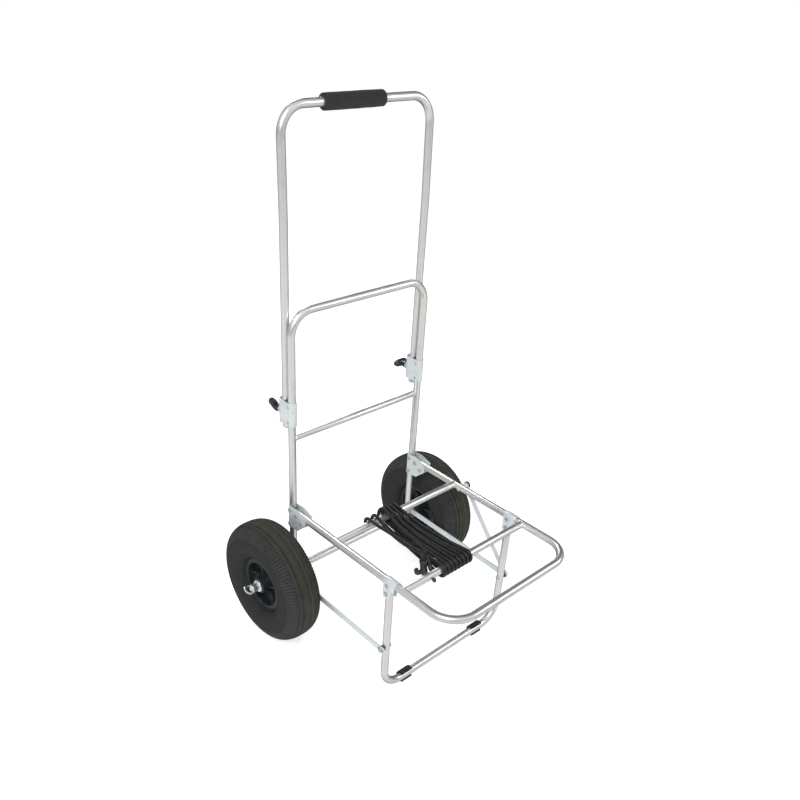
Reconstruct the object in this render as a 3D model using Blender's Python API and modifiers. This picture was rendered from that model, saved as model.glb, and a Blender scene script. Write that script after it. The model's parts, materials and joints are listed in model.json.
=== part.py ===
"""Surfcasting trolley: a bent-tube frame with a sliding handle, a folding platform and stand,
two fat pneumatic wheels on one axle, and an elastic cord wound round the platform's crossbars.

Units are metres and +Z is up. The trolley stands on z = 0 with the origin at the centre of its
footprint. -Y is the nose, +Y the handle side, +X the right-hand wheel.
"""

import math

import bmesh
import bpy
import numpy as np
from mathutils import Matrix, Quaternion, Vector

# Fits
CLEARANCE = 0.0003
WELD = 0.00001
CUT_SPARE = 0.004

# Tubes
TUBE_RADIUS = 0.0075
TUBE_WALL = 0.0012
TUBE_SIDES = 10
LEG_X = 0.166
BEND_RADIUS = 0.045
BEND_STEPS = 4
ROUND_SIDES = 12
PIN_SIDES = 8
COPE_SIDES = 24
HALF_TURN_STEPS = 8

# Wheels
WHEEL_RADIUS = 0.130
WHEEL_X = 0.223
WHEEL_STEPS = 24
TYRE_HALF_WIDTH = 0.0405
TYRE_WALL = 0.006
TYRE_ROOT_RADIUS = 0.054
TYRE_FULLNESS = 2.6
TYRE_LAST_ANGLE = math.radians(150)
TYRE_POINTS = 13
TYRE_INNER_POINTS = 7
BEAD_HALF_WIDTH = 0.0237
BEAD_THICKNESS = 0.0065
TUBE_SKIN = 0.0018
TUBE_GAP = 0.003
TUBE_POINTS = 6
TUBE_STEPS = 12
RIM_SEAT_RADIUS = 0.0507
RIM_FLANGE_RADIUS = 0.0575
RIM_WALL = 0.0037
RIM_FLANGE = 0.0027
RIM_BEAD_GAP = 0.0006
RIM_WEB = 0.008
RIM_RIBS = 6
RIM_RIB_THICKNESS = 0.004
RIM_RIB_HALF_DEPTH = 0.019
HUB_RADIUS = 0.017
HUB_OUTER_REACH = 0.033
BUSH_RADIUS = 0.009
VALVE_RADIUS = 0.003
VALVE_BORE = 0.0012
VALVE_LENGTH = 0.020
VALVE_OFFSET = 0.014

# Axle
AXLE_RADIUS = 0.005
AXLE_TUBE_WALL = 0.002
AXLE_NUT_RADIUS = 0.0105
AXLE_NUT_LENGTH = 0.007
AXLE_SPARE = 0.0018
CHAMFER = 0.0008
WASHER_RADIUS = 0.0135
WASHER_HEIGHT = 0.0046
WASHER_EDGE = 0.0014
WASHER_SHOULDER = 0.0115
WASHER_SHOULDER_HEIGHT = 0.0030
WING_HUB_RADIUS = 0.008
WING_HUB_LENGTH = 0.012
WING_WIRE_RADIUS = 0.0017
WING_STEP = 0.003
WING_ANGLE = math.radians(229)

# Main frame, measured from the ground and from the axle
FRAME_TOP = 0.695
FRAME_BOTTOM = 0.118
CROSSBAR_HEIGHT = 0.445
CROSSBAR_RADIUS = 0.0062

# Sliding handle
HANDLE_TOP = 1.028
HANDLE_TAIL = 0.011
HANDLE_LEAN_START = 0.850
HANDLE_LEAN = 0.0045
HANDLE_LEAN_BEND = 0.300
GRIP_RADIUS = 0.014
GRIP_LENGTH = 0.131
GRIP_CENTRE_X = -0.016
GRIP_CHAMFER = 0.003

# Clamps
CLAMP_RISE = 0.027
CLAMP_DROP = 0.022
CLAMP_DEPTH = 0.0070
CLAMP_CORNER = 0.004
CLAMP_RIVET_RADIUS = 0.0016
CLAMP_RIVET_HEAD = 0.0030
CLAMP_RIVET_OFFSETS = (-0.014, 0.018)
BOSS_RADIUS = 0.0070
BOSS_LENGTH = 0.0025
SCREW_RADIUS = 0.003
SCREW_LENGTH = 0.024
KNOB_HEIGHT = 0.496
KNOB_SPAN = 0.035
KNOB_THICKNESS = 0.014
KNOB_ROUNDING = 0.0055
KNOB_HUB_RADIUS = 0.0070
KNOB_HUB_LENGTH = 0.013
KNOB_GAP = 0.0016
KNOB_BURIAL = 0.0037
KNOB_ANGLES = {"left": math.radians(57), "right": math.radians(0)}

# Sheet brackets and rivets
SHEET = 0.0016
RIVET_RADIUS = 0.003
RIVET_HEAD = 0.0045
RIVET_HEIGHT = 0.0014
PIVOT_HEAD = 0.0050

# Folding platform, measured back from the axle and up from the ground
PLATFORM_HEIGHT = 0.279
PLATFORM_REAR = -0.0127
PLATFORM_FRONT = -0.446
PLATFORM_BEND = 0.055
REAR_BAR_Y = -0.133
FRONT_BAR_Y = -0.322
FOLD_Y = -0.020
STOP_Y = -0.0375
HINGE_RIVET_OFFSETS = (-0.028, 0.004)
HINGE_OUTLINE = ((0.012, 0.013), (-0.022, 0.0165), (-0.051, 0.0085), (-0.049, -0.011), (-0.027, -0.032),
                 (0.012, -0.036))
HINGE_REACH = 0.060

# Stand
STAND_Y = -0.290
STAND_PIVOT_DROP = 0.023
STAND_TOP_DROP = 0.016
SOLE = 0.004
CLIP_REAR = -0.281
CLIP_TAB_FRONT = -0.300
CLIP_NOSE = 0.009
CLIP_BOTTOM_DROP = 0.033
CLIP_STEP_DROP = 0.011
CLIP_RIVET_DROP = 0.004
FOOT_LENGTH = 0.028
FOOT_X = {"left": -0.1065, "right": 0.1025}
FOOT_OPENING = math.radians(55)
FOOT_STEPS = 12
SOLE_HALF_LENGTH = 0.006
SOLE_CORNER = math.radians(45)

# Bracing straps and the hooked stay
STRAP_WIDTH = 0.013
STRAP_THICKNESS = 0.0025
STRAP_FOOT_HEIGHT = 0.122
SLOT_HALF_TRAVEL = 0.0015
STRAP_OVERRUN = 0.003
SLOT_HALF_SLACK = 0.0015
BOLT_RADIUS = 0.0025
BOLT_HEAD = 0.0065
BOLT_HEIGHT = 0.003
SPACER_RADIUS = 0.0065
STAY_WIDTH = 0.012
STAY_THICKNESS = 0.002
STUD_Y = -0.154
STUD_RADIUS = 0.0035
STUD_COLLAR = 0.0055
STAY_HEAD = 0.0085
STAY_MOUTH = 0.014
STAY_MOUTH_ANGLES = (math.radians(-38), math.radians(-82))
STUD_CAP_RADIUS = 0.008
STUD_CAP_LENGTH = 0.006

# Elastic cord wound round the two crossbars
CORD_RADIUS = 0.0035
WRAP_SLACK = 0.0008
LAYER = 0.0066
WRAP_STEPS = 7
RUN_STEPS = 5
RUN_SAG = 0.0012
RUN_BOW = 0.009
CORD_SPACING = 0.016
GRIP_HOOK_X = -0.081
GRIP_HOOK_GAP = 0.001
GRIP_HOOK_LEAN = math.radians(34)
GRIP_HOOK_SKEW = 0.018
GRIP_HOOK_TURN = math.radians(150)
HOOK_STEPS = 6
GRIP_WIRE_RADIUS = 0.0032
GRIP_BARREL_RADIUS = 0.0045
GRIP_BARREL_LENGTH = 0.030
FREE_HOOK_X = -0.0952
FREE_HOOK_Y = -0.300
FREE_HOOK_RISE = 0.023
FREE_HOOK_LEAN = math.radians(8)
FREE_ARM_SEAT = 0.009
FREE_ARM_REACH = 0.0185
FREE_ARM_RISE = 0.015
FREE_ARM_BEND = 0.0085
FREE_WIRE_RADIUS = 0.0042
FREE_BARREL_RADIUS = 0.0075
FREE_BARREL_LENGTH = 0.034

# Sizes that follow from those above
AXLE_Z = WHEEL_RADIUS
AXLE_Y = (-PLATFORM_FRONT + TUBE_RADIUS - WHEEL_RADIUS) / 2
AXLE_THREAD_REACH = WHEEL_X + HUB_OUTER_REACH + WASHER_HEIGHT + WING_HUB_LENGTH + AXLE_SPARE + 2 * CLEARANCE
CLAMP_TOP = KNOB_HEIGHT + CLAMP_RISE
CLAMP_BOTTOM = KNOB_HEIGHT - CLAMP_DROP
CLAMP_RIVET_HEIGHTS = [KNOB_HEIGHT + offset for offset in CLAMP_RIVET_OFFSETS]
HANDLE_BOTTOM = CLAMP_BOTTOM - HANDLE_TAIL
HINGE_RIVET_HEIGHTS = [PLATFORM_HEIGHT + offset for offset in HINGE_RIVET_OFFSETS]
STAND_PIVOT_HEIGHT = PLATFORM_HEIGHT - STAND_PIVOT_DROP
STAND_TOP = PLATFORM_HEIGHT - STAND_TOP_DROP
CLIP_BOTTOM = PLATFORM_HEIGHT - CLIP_BOTTOM_DROP
CLIP_STEP = PLATFORM_HEIGHT - CLIP_STEP_DROP
PLATE_IN = TUBE_RADIUS + CLEARANCE
PLATE_OUT = PLATE_IN + SHEET
HEAD_IN = PLATE_OUT + CLEARANCE
HEAD_OUT = HEAD_IN + RIVET_HEIGHT
STRAP_IN = HEAD_OUT + CLEARANCE
STRAP_OUT = STRAP_IN + STRAP_THICKNESS
STAY_IN = STRAP_OUT + CLEARANCE
STAY_OUT = STAY_IN + STAY_THICKNESS
STAND_BAR_Z = SOLE + TUBE_RADIUS
CLIP_FRONT = CLIP_TAB_FRONT - CLIP_NOSE
STOP_Z = PLATFORM_HEIGHT - TUBE_RADIUS - CLEARANCE - RIVET_RADIUS
HUB_INNER_REACH = WHEEL_X - LEG_X - STRAP_OUT - CLEARANCE
HANDLE_BACK = PLATE_OUT + CLEARANCE + TUBE_RADIUS
CLAMP_BACK = HANDLE_BACK + CLAMP_DEPTH
KNOB_START = CLAMP_BACK + PLATE_OUT + BOSS_LENGTH + KNOB_GAP
INNER_WRAP = TUBE_RADIUS + WRAP_SLACK + CORD_RADIUS
GRIP_HOOK_RADIUS = TUBE_RADIUS + GRIP_HOOK_GAP + GRIP_WIRE_RADIUS
LOOP_REACH = 3 * INNER_WRAP

SIDES = ((-1, "left"), (1, "right"))

# The wing nut's wire loop: outward from the nut's foot in hub lengths, across the axle in hub radii
WING_ROUTE = ((0.33, -0.95), (0.92, -1.00), (1.50, -1.10), (1.93, -1.22), (2.12, -1.03), (2.10, -0.25),
              (1.88, 0.44), (1.50, 0.97), (1.00, 1.05), (0.33, 0.95))

# The cord's turns in the order they are wound: x on the rear crossbar, layer there, x on the front one
TURNS = ((-0.0035, 0, 0.0005), (-0.0083, 1, -0.0095), (-0.0131, 0, -0.0195), (-0.0179, 1, -0.0295),
         (-0.0227, 0, -0.0395), (-0.0275, 1, -0.0495), (-0.0323, 0, -0.0595), (-0.0371, 1, -0.0695))

# The cord's two free runs, as points chosen by hand: x, back from the axle, up from the platform
CROSSING_ROUTE = ((-0.0765, -0.2720, 0.0300), (-0.0695, -0.2520, 0.0205), (-0.0655, -0.2350, 0.0085),
                  (-0.0540, -0.2150, -0.0005), (-0.0370, -0.1940, -0.0016), (-0.0195, -0.1730, -0.0006),
                  (-0.0080, -0.1545, 0.0058))
RETURN_ROUTE = ((-0.0702, -0.2900, 0.0112), (-0.0740, -0.2700, 0.0108), (-0.0775, -0.2400, 0.0106),
                (-0.0770, -0.2100, 0.0106), (-0.0725, -0.1800, 0.0108), (-0.0645, -0.1500, 0.0118),
                (-0.0600, -0.1330, 0.0126), (-0.0598, -0.1238, 0.0094), (-0.0600, -0.1203, 0.0010),
                (-0.0630, -0.1235, -0.0095), (-0.0695, -0.1270, -0.0125), (-0.0755, -0.1235, -0.0095),
                (-0.0780, -0.1203, 0.0010), (-0.0784, -0.1238, 0.0094), (-0.0785, -0.1330, 0.0126),
                (-0.0798, -0.1500, 0.0130), (-0.0818, -0.1700, 0.0155), (-0.0850, -0.2000, 0.0205),
                (-0.0880, -0.2300, 0.0245), (-0.0910, -0.2600, 0.0275), (-0.0935, -0.2820, 0.0335),
                (-0.0950, -0.2940, 0.0350))


# Scene, materials and bodies


def clear_scene():
    for obj in list(bpy.data.objects):
        bpy.data.objects.remove(obj, do_unlink=True)


def collection(name):
    made = bpy.data.collections.new(name)
    bpy.context.scene.collection.children.link(made)
    return made


def material(name, colour, roughness, metallic):
    made = bpy.data.materials.new(name)
    made.use_nodes = True
    shader = made.node_tree.nodes["Principled BSDF"]
    shader.inputs["Base Color"].default_value = (*colour, 1)
    shader.inputs["Roughness"].default_value = roughness
    shader.inputs["Metallic"].default_value = metallic
    return made


clear_scene()
PARTS = collection("surfcasting_trolley")
CUTTERS = collection("cutters")
ALUMINIUM = (0.80, 0.80, 0.77)
ZINC = (0.72, 0.76, 0.80)
BLACK = (0.02, 0.02, 0.022)


def finish(obj, look):
    """Give the piece a material of its own: look is a colour, a roughness and a metallic value."""
    obj.data.materials.clear()
    obj.data.materials.append(material(obj.name, *look))


def body(name, place, parent=None):
    """An empty on a joint's axis, which the pieces that move together are parented to."""
    empty = bpy.data.objects.new(name, None)
    PARTS.objects.link(empty)
    empty.location = place
    empty["world_place"] = place
    if parent is not None:
        ride(empty, parent)
    return empty


def ride(obj, parent):
    """Parent a piece to a body and leave it where it is."""
    obj.parent = parent
    obj.matrix_parent_inverse = Matrix.Translation(-Vector(parent["world_place"]))


# Shapes


def link(name, data, cutter=False):
    obj = bpy.data.objects.new(name, data)
    (CUTTERS if cutter else PARTS).objects.link(obj)
    if cutter:
        obj.hide_render = True
        obj.display_type = "WIRE"
    return obj


def smooth(mesh):
    mesh.shade_smooth()
    mesh.set_sharp_from_angle(angle=math.radians(35))


def meshed(obj):
    """The evaluated object as a plain mesh object with its caps welded on."""
    bpy.context.view_layer.update()
    depsgraph = bpy.context.evaluated_depsgraph_get()
    mesh = bpy.data.meshes.new_from_object(obj.evaluated_get(depsgraph))
    form = bmesh.new()
    form.from_mesh(mesh)
    bmesh.ops.remove_doubles(form, verts=form.verts, dist=WELD)
    form.to_mesh(mesh)
    form.free()
    smooth(mesh)
    name = obj.name
    cutter = obj.hide_render
    place = obj.matrix_world.copy()
    bpy.data.objects.remove(obj, do_unlink=True)
    made = link(name, mesh, cutter)
    made.name = name
    made.matrix_world = place
    return made


def rounded_path(corners, radii, steps=BEND_STEPS):
    """A centreline through the corners, with each inner corner rounded to an arc; steps is for 90 degrees."""
    corners = [Vector(corner) for corner in corners]
    path = [corners[0]]
    for before, corner, after, radius in zip(corners, corners[1:], corners[2:], radii):
        back = (before - corner).normalized()
        ahead = (after - corner).normalized()
        half = back.angle(ahead) / 2
        centre = corner + (back + ahead).normalized() * (radius / math.sin(half))
        spoke = corner + back * (radius / math.tan(half)) - centre
        turn = math.pi - 2 * half
        axis = ahead.cross(back)
        count = max(1, round(steps * turn / (math.pi / 2)))
        path += [centre + Quaternion(axis, turn * k / count) @ spoke for k in range(count + 1)]
    return path + [corners[-1]]


def swept(name, path, radius, sides=TUBE_SIDES, caps=True, cutter=False):
    """A round bar along a path, as a bevelled curve; sides is an even number from 4."""
    curve = bpy.data.curves.new(name, "CURVE")
    curve.dimensions = "3D"
    spline = curve.splines.new("POLY")
    spline.points.add(len(path) - 1)
    for point, place in zip(spline.points, path):
        point.co = (*place, 1)
    curve.bevel_depth = radius
    curve.bevel_resolution = sides // 2 - 2
    curve.render_resolution_u = 0
    curve.use_fill_caps = caps
    return link(name, curve, cutter)


def tube(name, path, radius=TUBE_RADIUS, wall=TUBE_WALL):
    """A hollow tube with open ends: a swept skin thickened inwards."""
    obj = meshed(swept(name, path, radius, caps=False))
    shell = obj.modifiers.new("wall", "SOLIDIFY")
    shell.thickness = wall
    shell.offset = -1
    return obj


def turned(name, profile, steps=ROUND_SIDES, closed=False, cutter=False):
    """A turned piece: radius and height pairs, down the outer side, spun about the local Z axis."""
    mesh = bpy.data.meshes.new(name)
    edges = [(k, k + 1) for k in range(len(profile) - 1)]
    if closed:
        edges.append((len(profile) - 1, 0))
    mesh.from_pydata([(radius, 0, height) for radius, height in profile], edges, [])
    obj = link(name, mesh, cutter)
    screw = obj.modifiers.new("turn", "SCREW")
    screw.steps = steps
    screw.render_steps = steps
    screw.use_merge_vertices = True
    screw.merge_threshold = WELD
    screw.use_smooth_shade = True
    return obj


def outline(name, points, thickness, holes=(), cutter=False):
    """A flat plate: a filled outline, centred on its own plane."""
    curve = bpy.data.curves.new(name, "CURVE")
    curve.dimensions = "2D"
    curve.fill_mode = "BOTH"
    curve.extrude = thickness / 2
    curve.render_resolution_u = 0
    for ring in (points, *holes):
        spline = curve.splines.new("POLY")
        spline.points.add(len(ring) - 1)
        spline.use_cyclic_u = True
        for point, (across, along) in zip(spline.points, ring):
            point.co = (across, along, 0, 1)
    return link(name, curve, cutter)


def arc(centre, radius, start, end, steps):
    """Points along an arc in a plane, with both ends."""
    angles = [start + (end - start) * k / steps for k in range(steps + 1)]
    return [(centre[0] + radius * math.cos(a), centre[1] + radius * math.sin(a)) for a in angles]


def capsule(length, radius, steps=8):
    """The outline of a bar with round ends, from one end's centre at the origin along +X."""
    far = arc((length, 0), radius, -math.pi / 2, math.pi / 2, steps)
    return far + arc((0, 0), radius, math.pi / 2, 3 * math.pi / 2, steps)


def cylinders(name, rods, sides=PIN_SIDES):
    """One cutter of several separate cylinders, each a start, an end and a radius."""
    form = bmesh.new()
    for start, end, radius in rods:
        start = Vector(start)
        end = Vector(end)
        turn = Vector((0, 0, 1)).rotation_difference(end - start).to_matrix().to_4x4()
        place = Matrix.Translation((start + end) / 2) @ turn
        bmesh.ops.create_cone(form, cap_ends=True, segments=sides, radius1=radius, radius2=radius,
                              depth=(end - start).length, matrix=place)
    mesh = bpy.data.meshes.new(name)
    form.to_mesh(mesh)
    form.free()
    return link(name, mesh, cutter=True)


def combine(obj, operation, other):
    step = obj.modifiers.new(operation.lower(), "BOOLEAN")
    step.operation = operation
    step.solver = "EXACT"
    step.object = other


def drill(obj, rods, sides=PIN_SIDES):
    combine(obj, "DIFFERENCE", cylinders(obj.name + "_holes", rods, sides))


def across(side, y, z, radius, reach=PLATE_OUT + CUT_SPARE):
    """A cylinder square through a side tube."""
    centre = side * LEG_X
    return ((centre - reach, y, z), (centre + reach, y, z), radius)


def turn_outward(obj, side, x, y, z):
    """Point a turned piece's +Z away from the trolley's middle plane."""
    obj.location = (side * x, y, z)
    obj.rotation_euler = (0, side * math.pi / 2, 0)


def side_view(obj, x, y=0.0, z=0.0, tilt=0.0):
    """Stand a flat outline up, so that it reads as y and z and its thickness lies along x."""
    basis = Matrix(((0, 0, 1), (1, 0, 0), (0, 1, 0))).to_4x4()
    obj.matrix_world = Matrix.Translation((x, y, z)) @ Matrix.Rotation(tilt, 4, "X") @ basis


def rivet_profile(shank, head, height, grip):
    """A rivet with two flat heads, its middle at height 0."""
    half = [(0, grip + height), (head - height / 2, grip + height), (head, grip), (shank, grip)]
    return half + [(radius, -place) for radius, place in reversed(half)]


def ring_profile(inner, outer, low, high):
    return [(inner, high), (outer, high), (outer, low), (inner, low)]


# Bodies, each an empty on its joint's axis
def make_bodies():
    frame = body("frame_body", (0, AXLE_Y, 0))
    bodies = {"frame": frame}
    bodies["handle"] = body("handle_body", (0, AXLE_Y + HANDLE_BACK, HANDLE_TOP), frame)
    bodies["platform"] = body("platform_body", (0, AXLE_Y + FOLD_Y, PLATFORM_HEIGHT), frame)
    bodies["stand"] = body("stand_body", (0, AXLE_Y + STAND_Y, STAND_PIVOT_HEIGHT), bodies["platform"])
    stay_place = (LEG_X + STAY_IN, AXLE_Y + STAND_Y, STRAP_FOOT_HEIGHT)
    bodies["lock_bar"] = body("lock_bar_body", stay_place, bodies["stand"])
    for side, word in SIDES:
        knob_place = (side * LEG_X, AXLE_Y + KNOB_START, KNOB_HEIGHT)
        bodies["knob_" + word] = body(f"knob_{word}_body", knob_place, frame)
        bodies["brace_" + word] = body(f"brace_{word}_body", (side * LEG_X, AXLE_Y, AXLE_Z), frame)
        bodies["wheel_" + word] = body(f"wheel_{word}_body", (side * WHEEL_X, AXLE_Y, AXLE_Z), frame)
        nut_place = (side * (WHEEL_X + HUB_OUTER_REACH), AXLE_Y, AXLE_Z)
        bodies["wing_nut_" + word] = body(f"wing_nut_{word}_body", nut_place, frame)
    return bodies


def add(obj, parent, look):
    finish(obj, look)
    ride(obj, parent)
    return obj


METAL = (ALUMINIUM, 0.30, 1.0)
PLATED = (ZINC, 0.35, 1.0)
CHROME = ((0.85, 0.85, 0.86), 0.10, 1.0)
GLOSS_BLACK = (BLACK, 0.15, 0.0)
MATT_BLACK = (BLACK, 0.60, 0.0)
RIM_BLACK = ((0.025, 0.03, 0.035), 0.35, 0.0)
RUBBER = ((0.045, 0.045, 0.042), 0.70, 0.0)
FOAM = ((0.05, 0.05, 0.052), 0.90, 0.0)


# Main frame


def main_frame(bodies):
    corners = ((-LEG_X, AXLE_Y, FRAME_BOTTOM), (-LEG_X, AXLE_Y, FRAME_TOP), (LEG_X, AXLE_Y, FRAME_TOP),
               (LEG_X, AXLE_Y, FRAME_BOTTOM))
    obj = tube("main_frame_tube", rounded_path(corners, (BEND_RADIUS, BEND_RADIUS)))
    drill(obj, [across(side, AXLE_Y, AXLE_Z, AXLE_RADIUS + CLEARANCE) for side, _ in SIDES], ROUND_SIDES)
    drill(obj, [across(side, AXLE_Y, height, RIVET_RADIUS + CLEARANCE)
                for side, _ in SIDES for height in HINGE_RIVET_HEIGHTS])
    drill(obj, [across(side, AXLE_Y, height, CLAMP_RIVET_RADIUS + CLEARANCE)
                for side, _ in SIDES for height in CLAMP_RIVET_HEIGHTS])
    add(obj, bodies["frame"], METAL)


def coped_bar(name, y, z, radius, wall, legs_low, legs_high, parent):
    """A tube between the two side tubes, its ends cut to their round."""
    obj = tube(name, [Vector((-LEG_X, y, z)), Vector((LEG_X, y, z))], radius, wall)
    rods = [((side * LEG_X, *legs_low), (side * LEG_X, *legs_high), PLATE_IN) for side, _ in SIDES]
    drill(obj, rods, COPE_SIDES)
    return add(obj, parent, METAL)


def frame_bars(bodies):
    low = (AXLE_Y, CROSSBAR_HEIGHT - BEND_RADIUS)
    high = (AXLE_Y, CROSSBAR_HEIGHT + BEND_RADIUS)
    coped_bar("frame_crossbar", AXLE_Y, CROSSBAR_HEIGHT, CROSSBAR_RADIUS, TUBE_WALL, low, high,
              bodies["frame"])


def axle(bodies):
    """The axle tube with a hexagon at each end, and the rod that passes through it."""
    inner = LEG_X - PLATE_IN
    half = [(AXLE_NUT_RADIUS, inner), (AXLE_NUT_RADIUS, inner - AXLE_NUT_LENGTH)]
    bore = TUBE_RADIUS - AXLE_TUBE_WALL
    ends = [(bore, inner), *half, (TUBE_RADIUS, inner - AXLE_NUT_LENGTH)]
    profile = ends + [(radius, -place) for radius, place in reversed(ends)]
    obj = turned("axle_tube", profile, TUBE_SIDES, closed=True)
    turn_outward(obj, 1, 0, AXLE_Y, AXLE_Z)
    rods = [((side * LEG_X, AXLE_Y, AXLE_Z - BEND_RADIUS), (side * LEG_X, AXLE_Y, AXLE_Z + BEND_RADIUS),
             PLATE_IN) for side, _ in SIDES]
    drill(obj, rods, COPE_SIDES)
    add(obj, bodies["frame"], METAL)
    tip = [(0, AXLE_THREAD_REACH), (AXLE_RADIUS - CHAMFER, AXLE_THREAD_REACH),
           (AXLE_RADIUS, AXLE_THREAD_REACH - CHAMFER)]
    rod = turned("axle_rod", tip + [(radius, -place) for radius, place in reversed(tip)])
    turn_outward(rod, 1, 0, AXLE_Y, AXLE_Z)
    add(rod, bodies["frame"], PLATED)


def axle_spacer(side, word, bodies):
    profile = ring_profile(AXLE_RADIUS + CLEARANCE, SPACER_RADIUS, TUBE_RADIUS + CLEARANCE,
                           STRAP_IN - CLEARANCE)
    obj = turned("axle_spacer_" + word, profile, closed=True)
    turn_outward(obj, side, LEG_X, AXLE_Y, AXLE_Z)
    add(obj, bodies["frame"], PLATED)


def hinge_bracket(side, word, bodies):
    """A sheet folded round the back of the leg, its two cheeks reaching forward past the platform."""
    cheeks = [(y + AXLE_Y, z + PLATFORM_HEIGHT) for y, z in HINGE_OUTLINE]
    obj = outline("hinge_bracket_" + word, cheeks, 2 * (PLATE_OUT + CUT_SPARE))
    side_view(obj, side * LEG_X)
    obj = meshed(obj)
    outer = arc((0, 0), PLATE_OUT, 0, math.pi, HALF_TURN_STEPS)
    inner = arc((0, 0), PLATE_IN, math.pi, 0, HALF_TURN_STEPS)
    wrap = outer + [(-PLATE_OUT, -HINGE_REACH), (-PLATE_IN, -HINGE_REACH)] + inner
    wrap += [(PLATE_IN, -HINGE_REACH), (PLATE_OUT, -HINGE_REACH)]
    fold = outline(obj.name + "_wrap", wrap, FRAME_TOP, cutter=True)
    fold.location = (side * LEG_X, AXLE_Y, FRAME_TOP / 2)
    combine(obj, "INTERSECT", meshed(fold))
    rods = [across(side, AXLE_Y, height, RIVET_RADIUS + CLEARANCE) for height in HINGE_RIVET_HEIGHTS]
    rods.append(across(side, AXLE_Y + FOLD_Y, PLATFORM_HEIGHT, RIVET_RADIUS + CLEARANCE))
    rods.append(across(side, AXLE_Y + STOP_Y, STOP_Z, RIVET_RADIUS + CLEARANCE))
    drill(obj, rods)
    add(obj, bodies["frame"], PLATED)


def rivet(name, side, y, z, head, parent):
    obj = turned(name, rivet_profile(RIVET_RADIUS, head, RIVET_HEIGHT, HEAD_IN), PIN_SIDES)
    turn_outward(obj, side, LEG_X, y, z)
    add(obj, parent, PLATED)


def hinge_rivets(side, word, bodies):
    for height, place in zip(HINGE_RIVET_HEIGHTS, ("lower", "upper")):
        rivet(f"hinge_rivet_{place}_{word}", side, AXLE_Y, height, RIVET_HEAD, bodies["frame"])
    rivet("fold_pivot_" + word, side, AXLE_Y + FOLD_Y, PLATFORM_HEIGHT, PIVOT_HEAD, bodies["frame"])
    rivet("fold_stop_" + word, side, AXLE_Y + STOP_Y, STOP_Z, RIVET_HEAD, bodies["frame"])


# Clamps and handle


def clamp_bracket(side, word, bodies):
    """A deep band round the frame's leg and the handle's leg, riveted through the frame's leg, with a
    threaded boss at the back."""
    name = "clamp_bracket_" + word
    outer = arc((0, CLAMP_BACK), PLATE_OUT, 0, math.pi, HALF_TURN_STEPS)
    outer += arc((0, 0), PLATE_OUT, math.pi, 2 * math.pi, HALF_TURN_STEPS)
    inner = arc((0, CLAMP_BACK), PLATE_IN, 0, math.pi, HALF_TURN_STEPS)
    inner += arc((0, 0), PLATE_IN, math.pi, 2 * math.pi, HALF_TURN_STEPS)
    obj = outline(name, outer, CLAMP_TOP - CLAMP_BOTTOM, holes=(inner,))
    obj.location = (side * LEG_X, AXLE_Y, (CLAMP_TOP + CLAMP_BOTTOM) / 2)
    obj = meshed(obj)
    back = AXLE_Y + CLAMP_BACK + PLATE_OUT
    centre = side * LEG_X
    seat = back - SHEET / 2
    combine(obj, "UNION", cylinders(name + "_boss", [((centre, seat, KNOB_HEIGHT),
                                                     (centre, back + BOSS_LENGTH, KNOB_HEIGHT),
                                                     BOSS_RADIUS)]))
    shanks = [across(side, AXLE_Y, height, CLAMP_RIVET_RADIUS, PLATE_OUT) for height in CLAMP_RIVET_HEIGHTS]
    combine(obj, "UNION", cylinders(name + "_shanks", shanks, PIN_SIDES))
    for end in (-1, 1):
        heads = []
        for height in CLAMP_RIVET_HEIGHTS:
            start = (centre + end * (PLATE_OUT - SHEET / 2), AXLE_Y, height)
            heads.append((start, (centre + end * HEAD_OUT, AXLE_Y, height), CLAMP_RIVET_HEAD))
        combine(obj, "UNION", cylinders(f"{name}_heads_{end + 1}", heads, PIN_SIDES))
    drill(obj, [((centre, back - SHEET - CUT_SPARE, KNOB_HEIGHT),
                 (centre, back + BOSS_LENGTH + CUT_SPARE, KNOB_HEIGHT), SCREW_RADIUS + CLEARANCE)])
    low = CLAMP_BOTTOM - CUT_SPARE
    corner = outline(name + "_corner", ((back - CLAMP_CORNER - CUT_SPARE, low), (back + CUT_SPARE, low),
                                        (back + CUT_SPARE, CLAMP_BOTTOM + CLAMP_CORNER + CUT_SPARE)),
                     4 * PLATE_OUT, cutter=True)
    side_view(corner, centre)
    combine(obj, "DIFFERENCE", meshed(corner))
    add(obj, bodies["frame"], PLATED)


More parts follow.
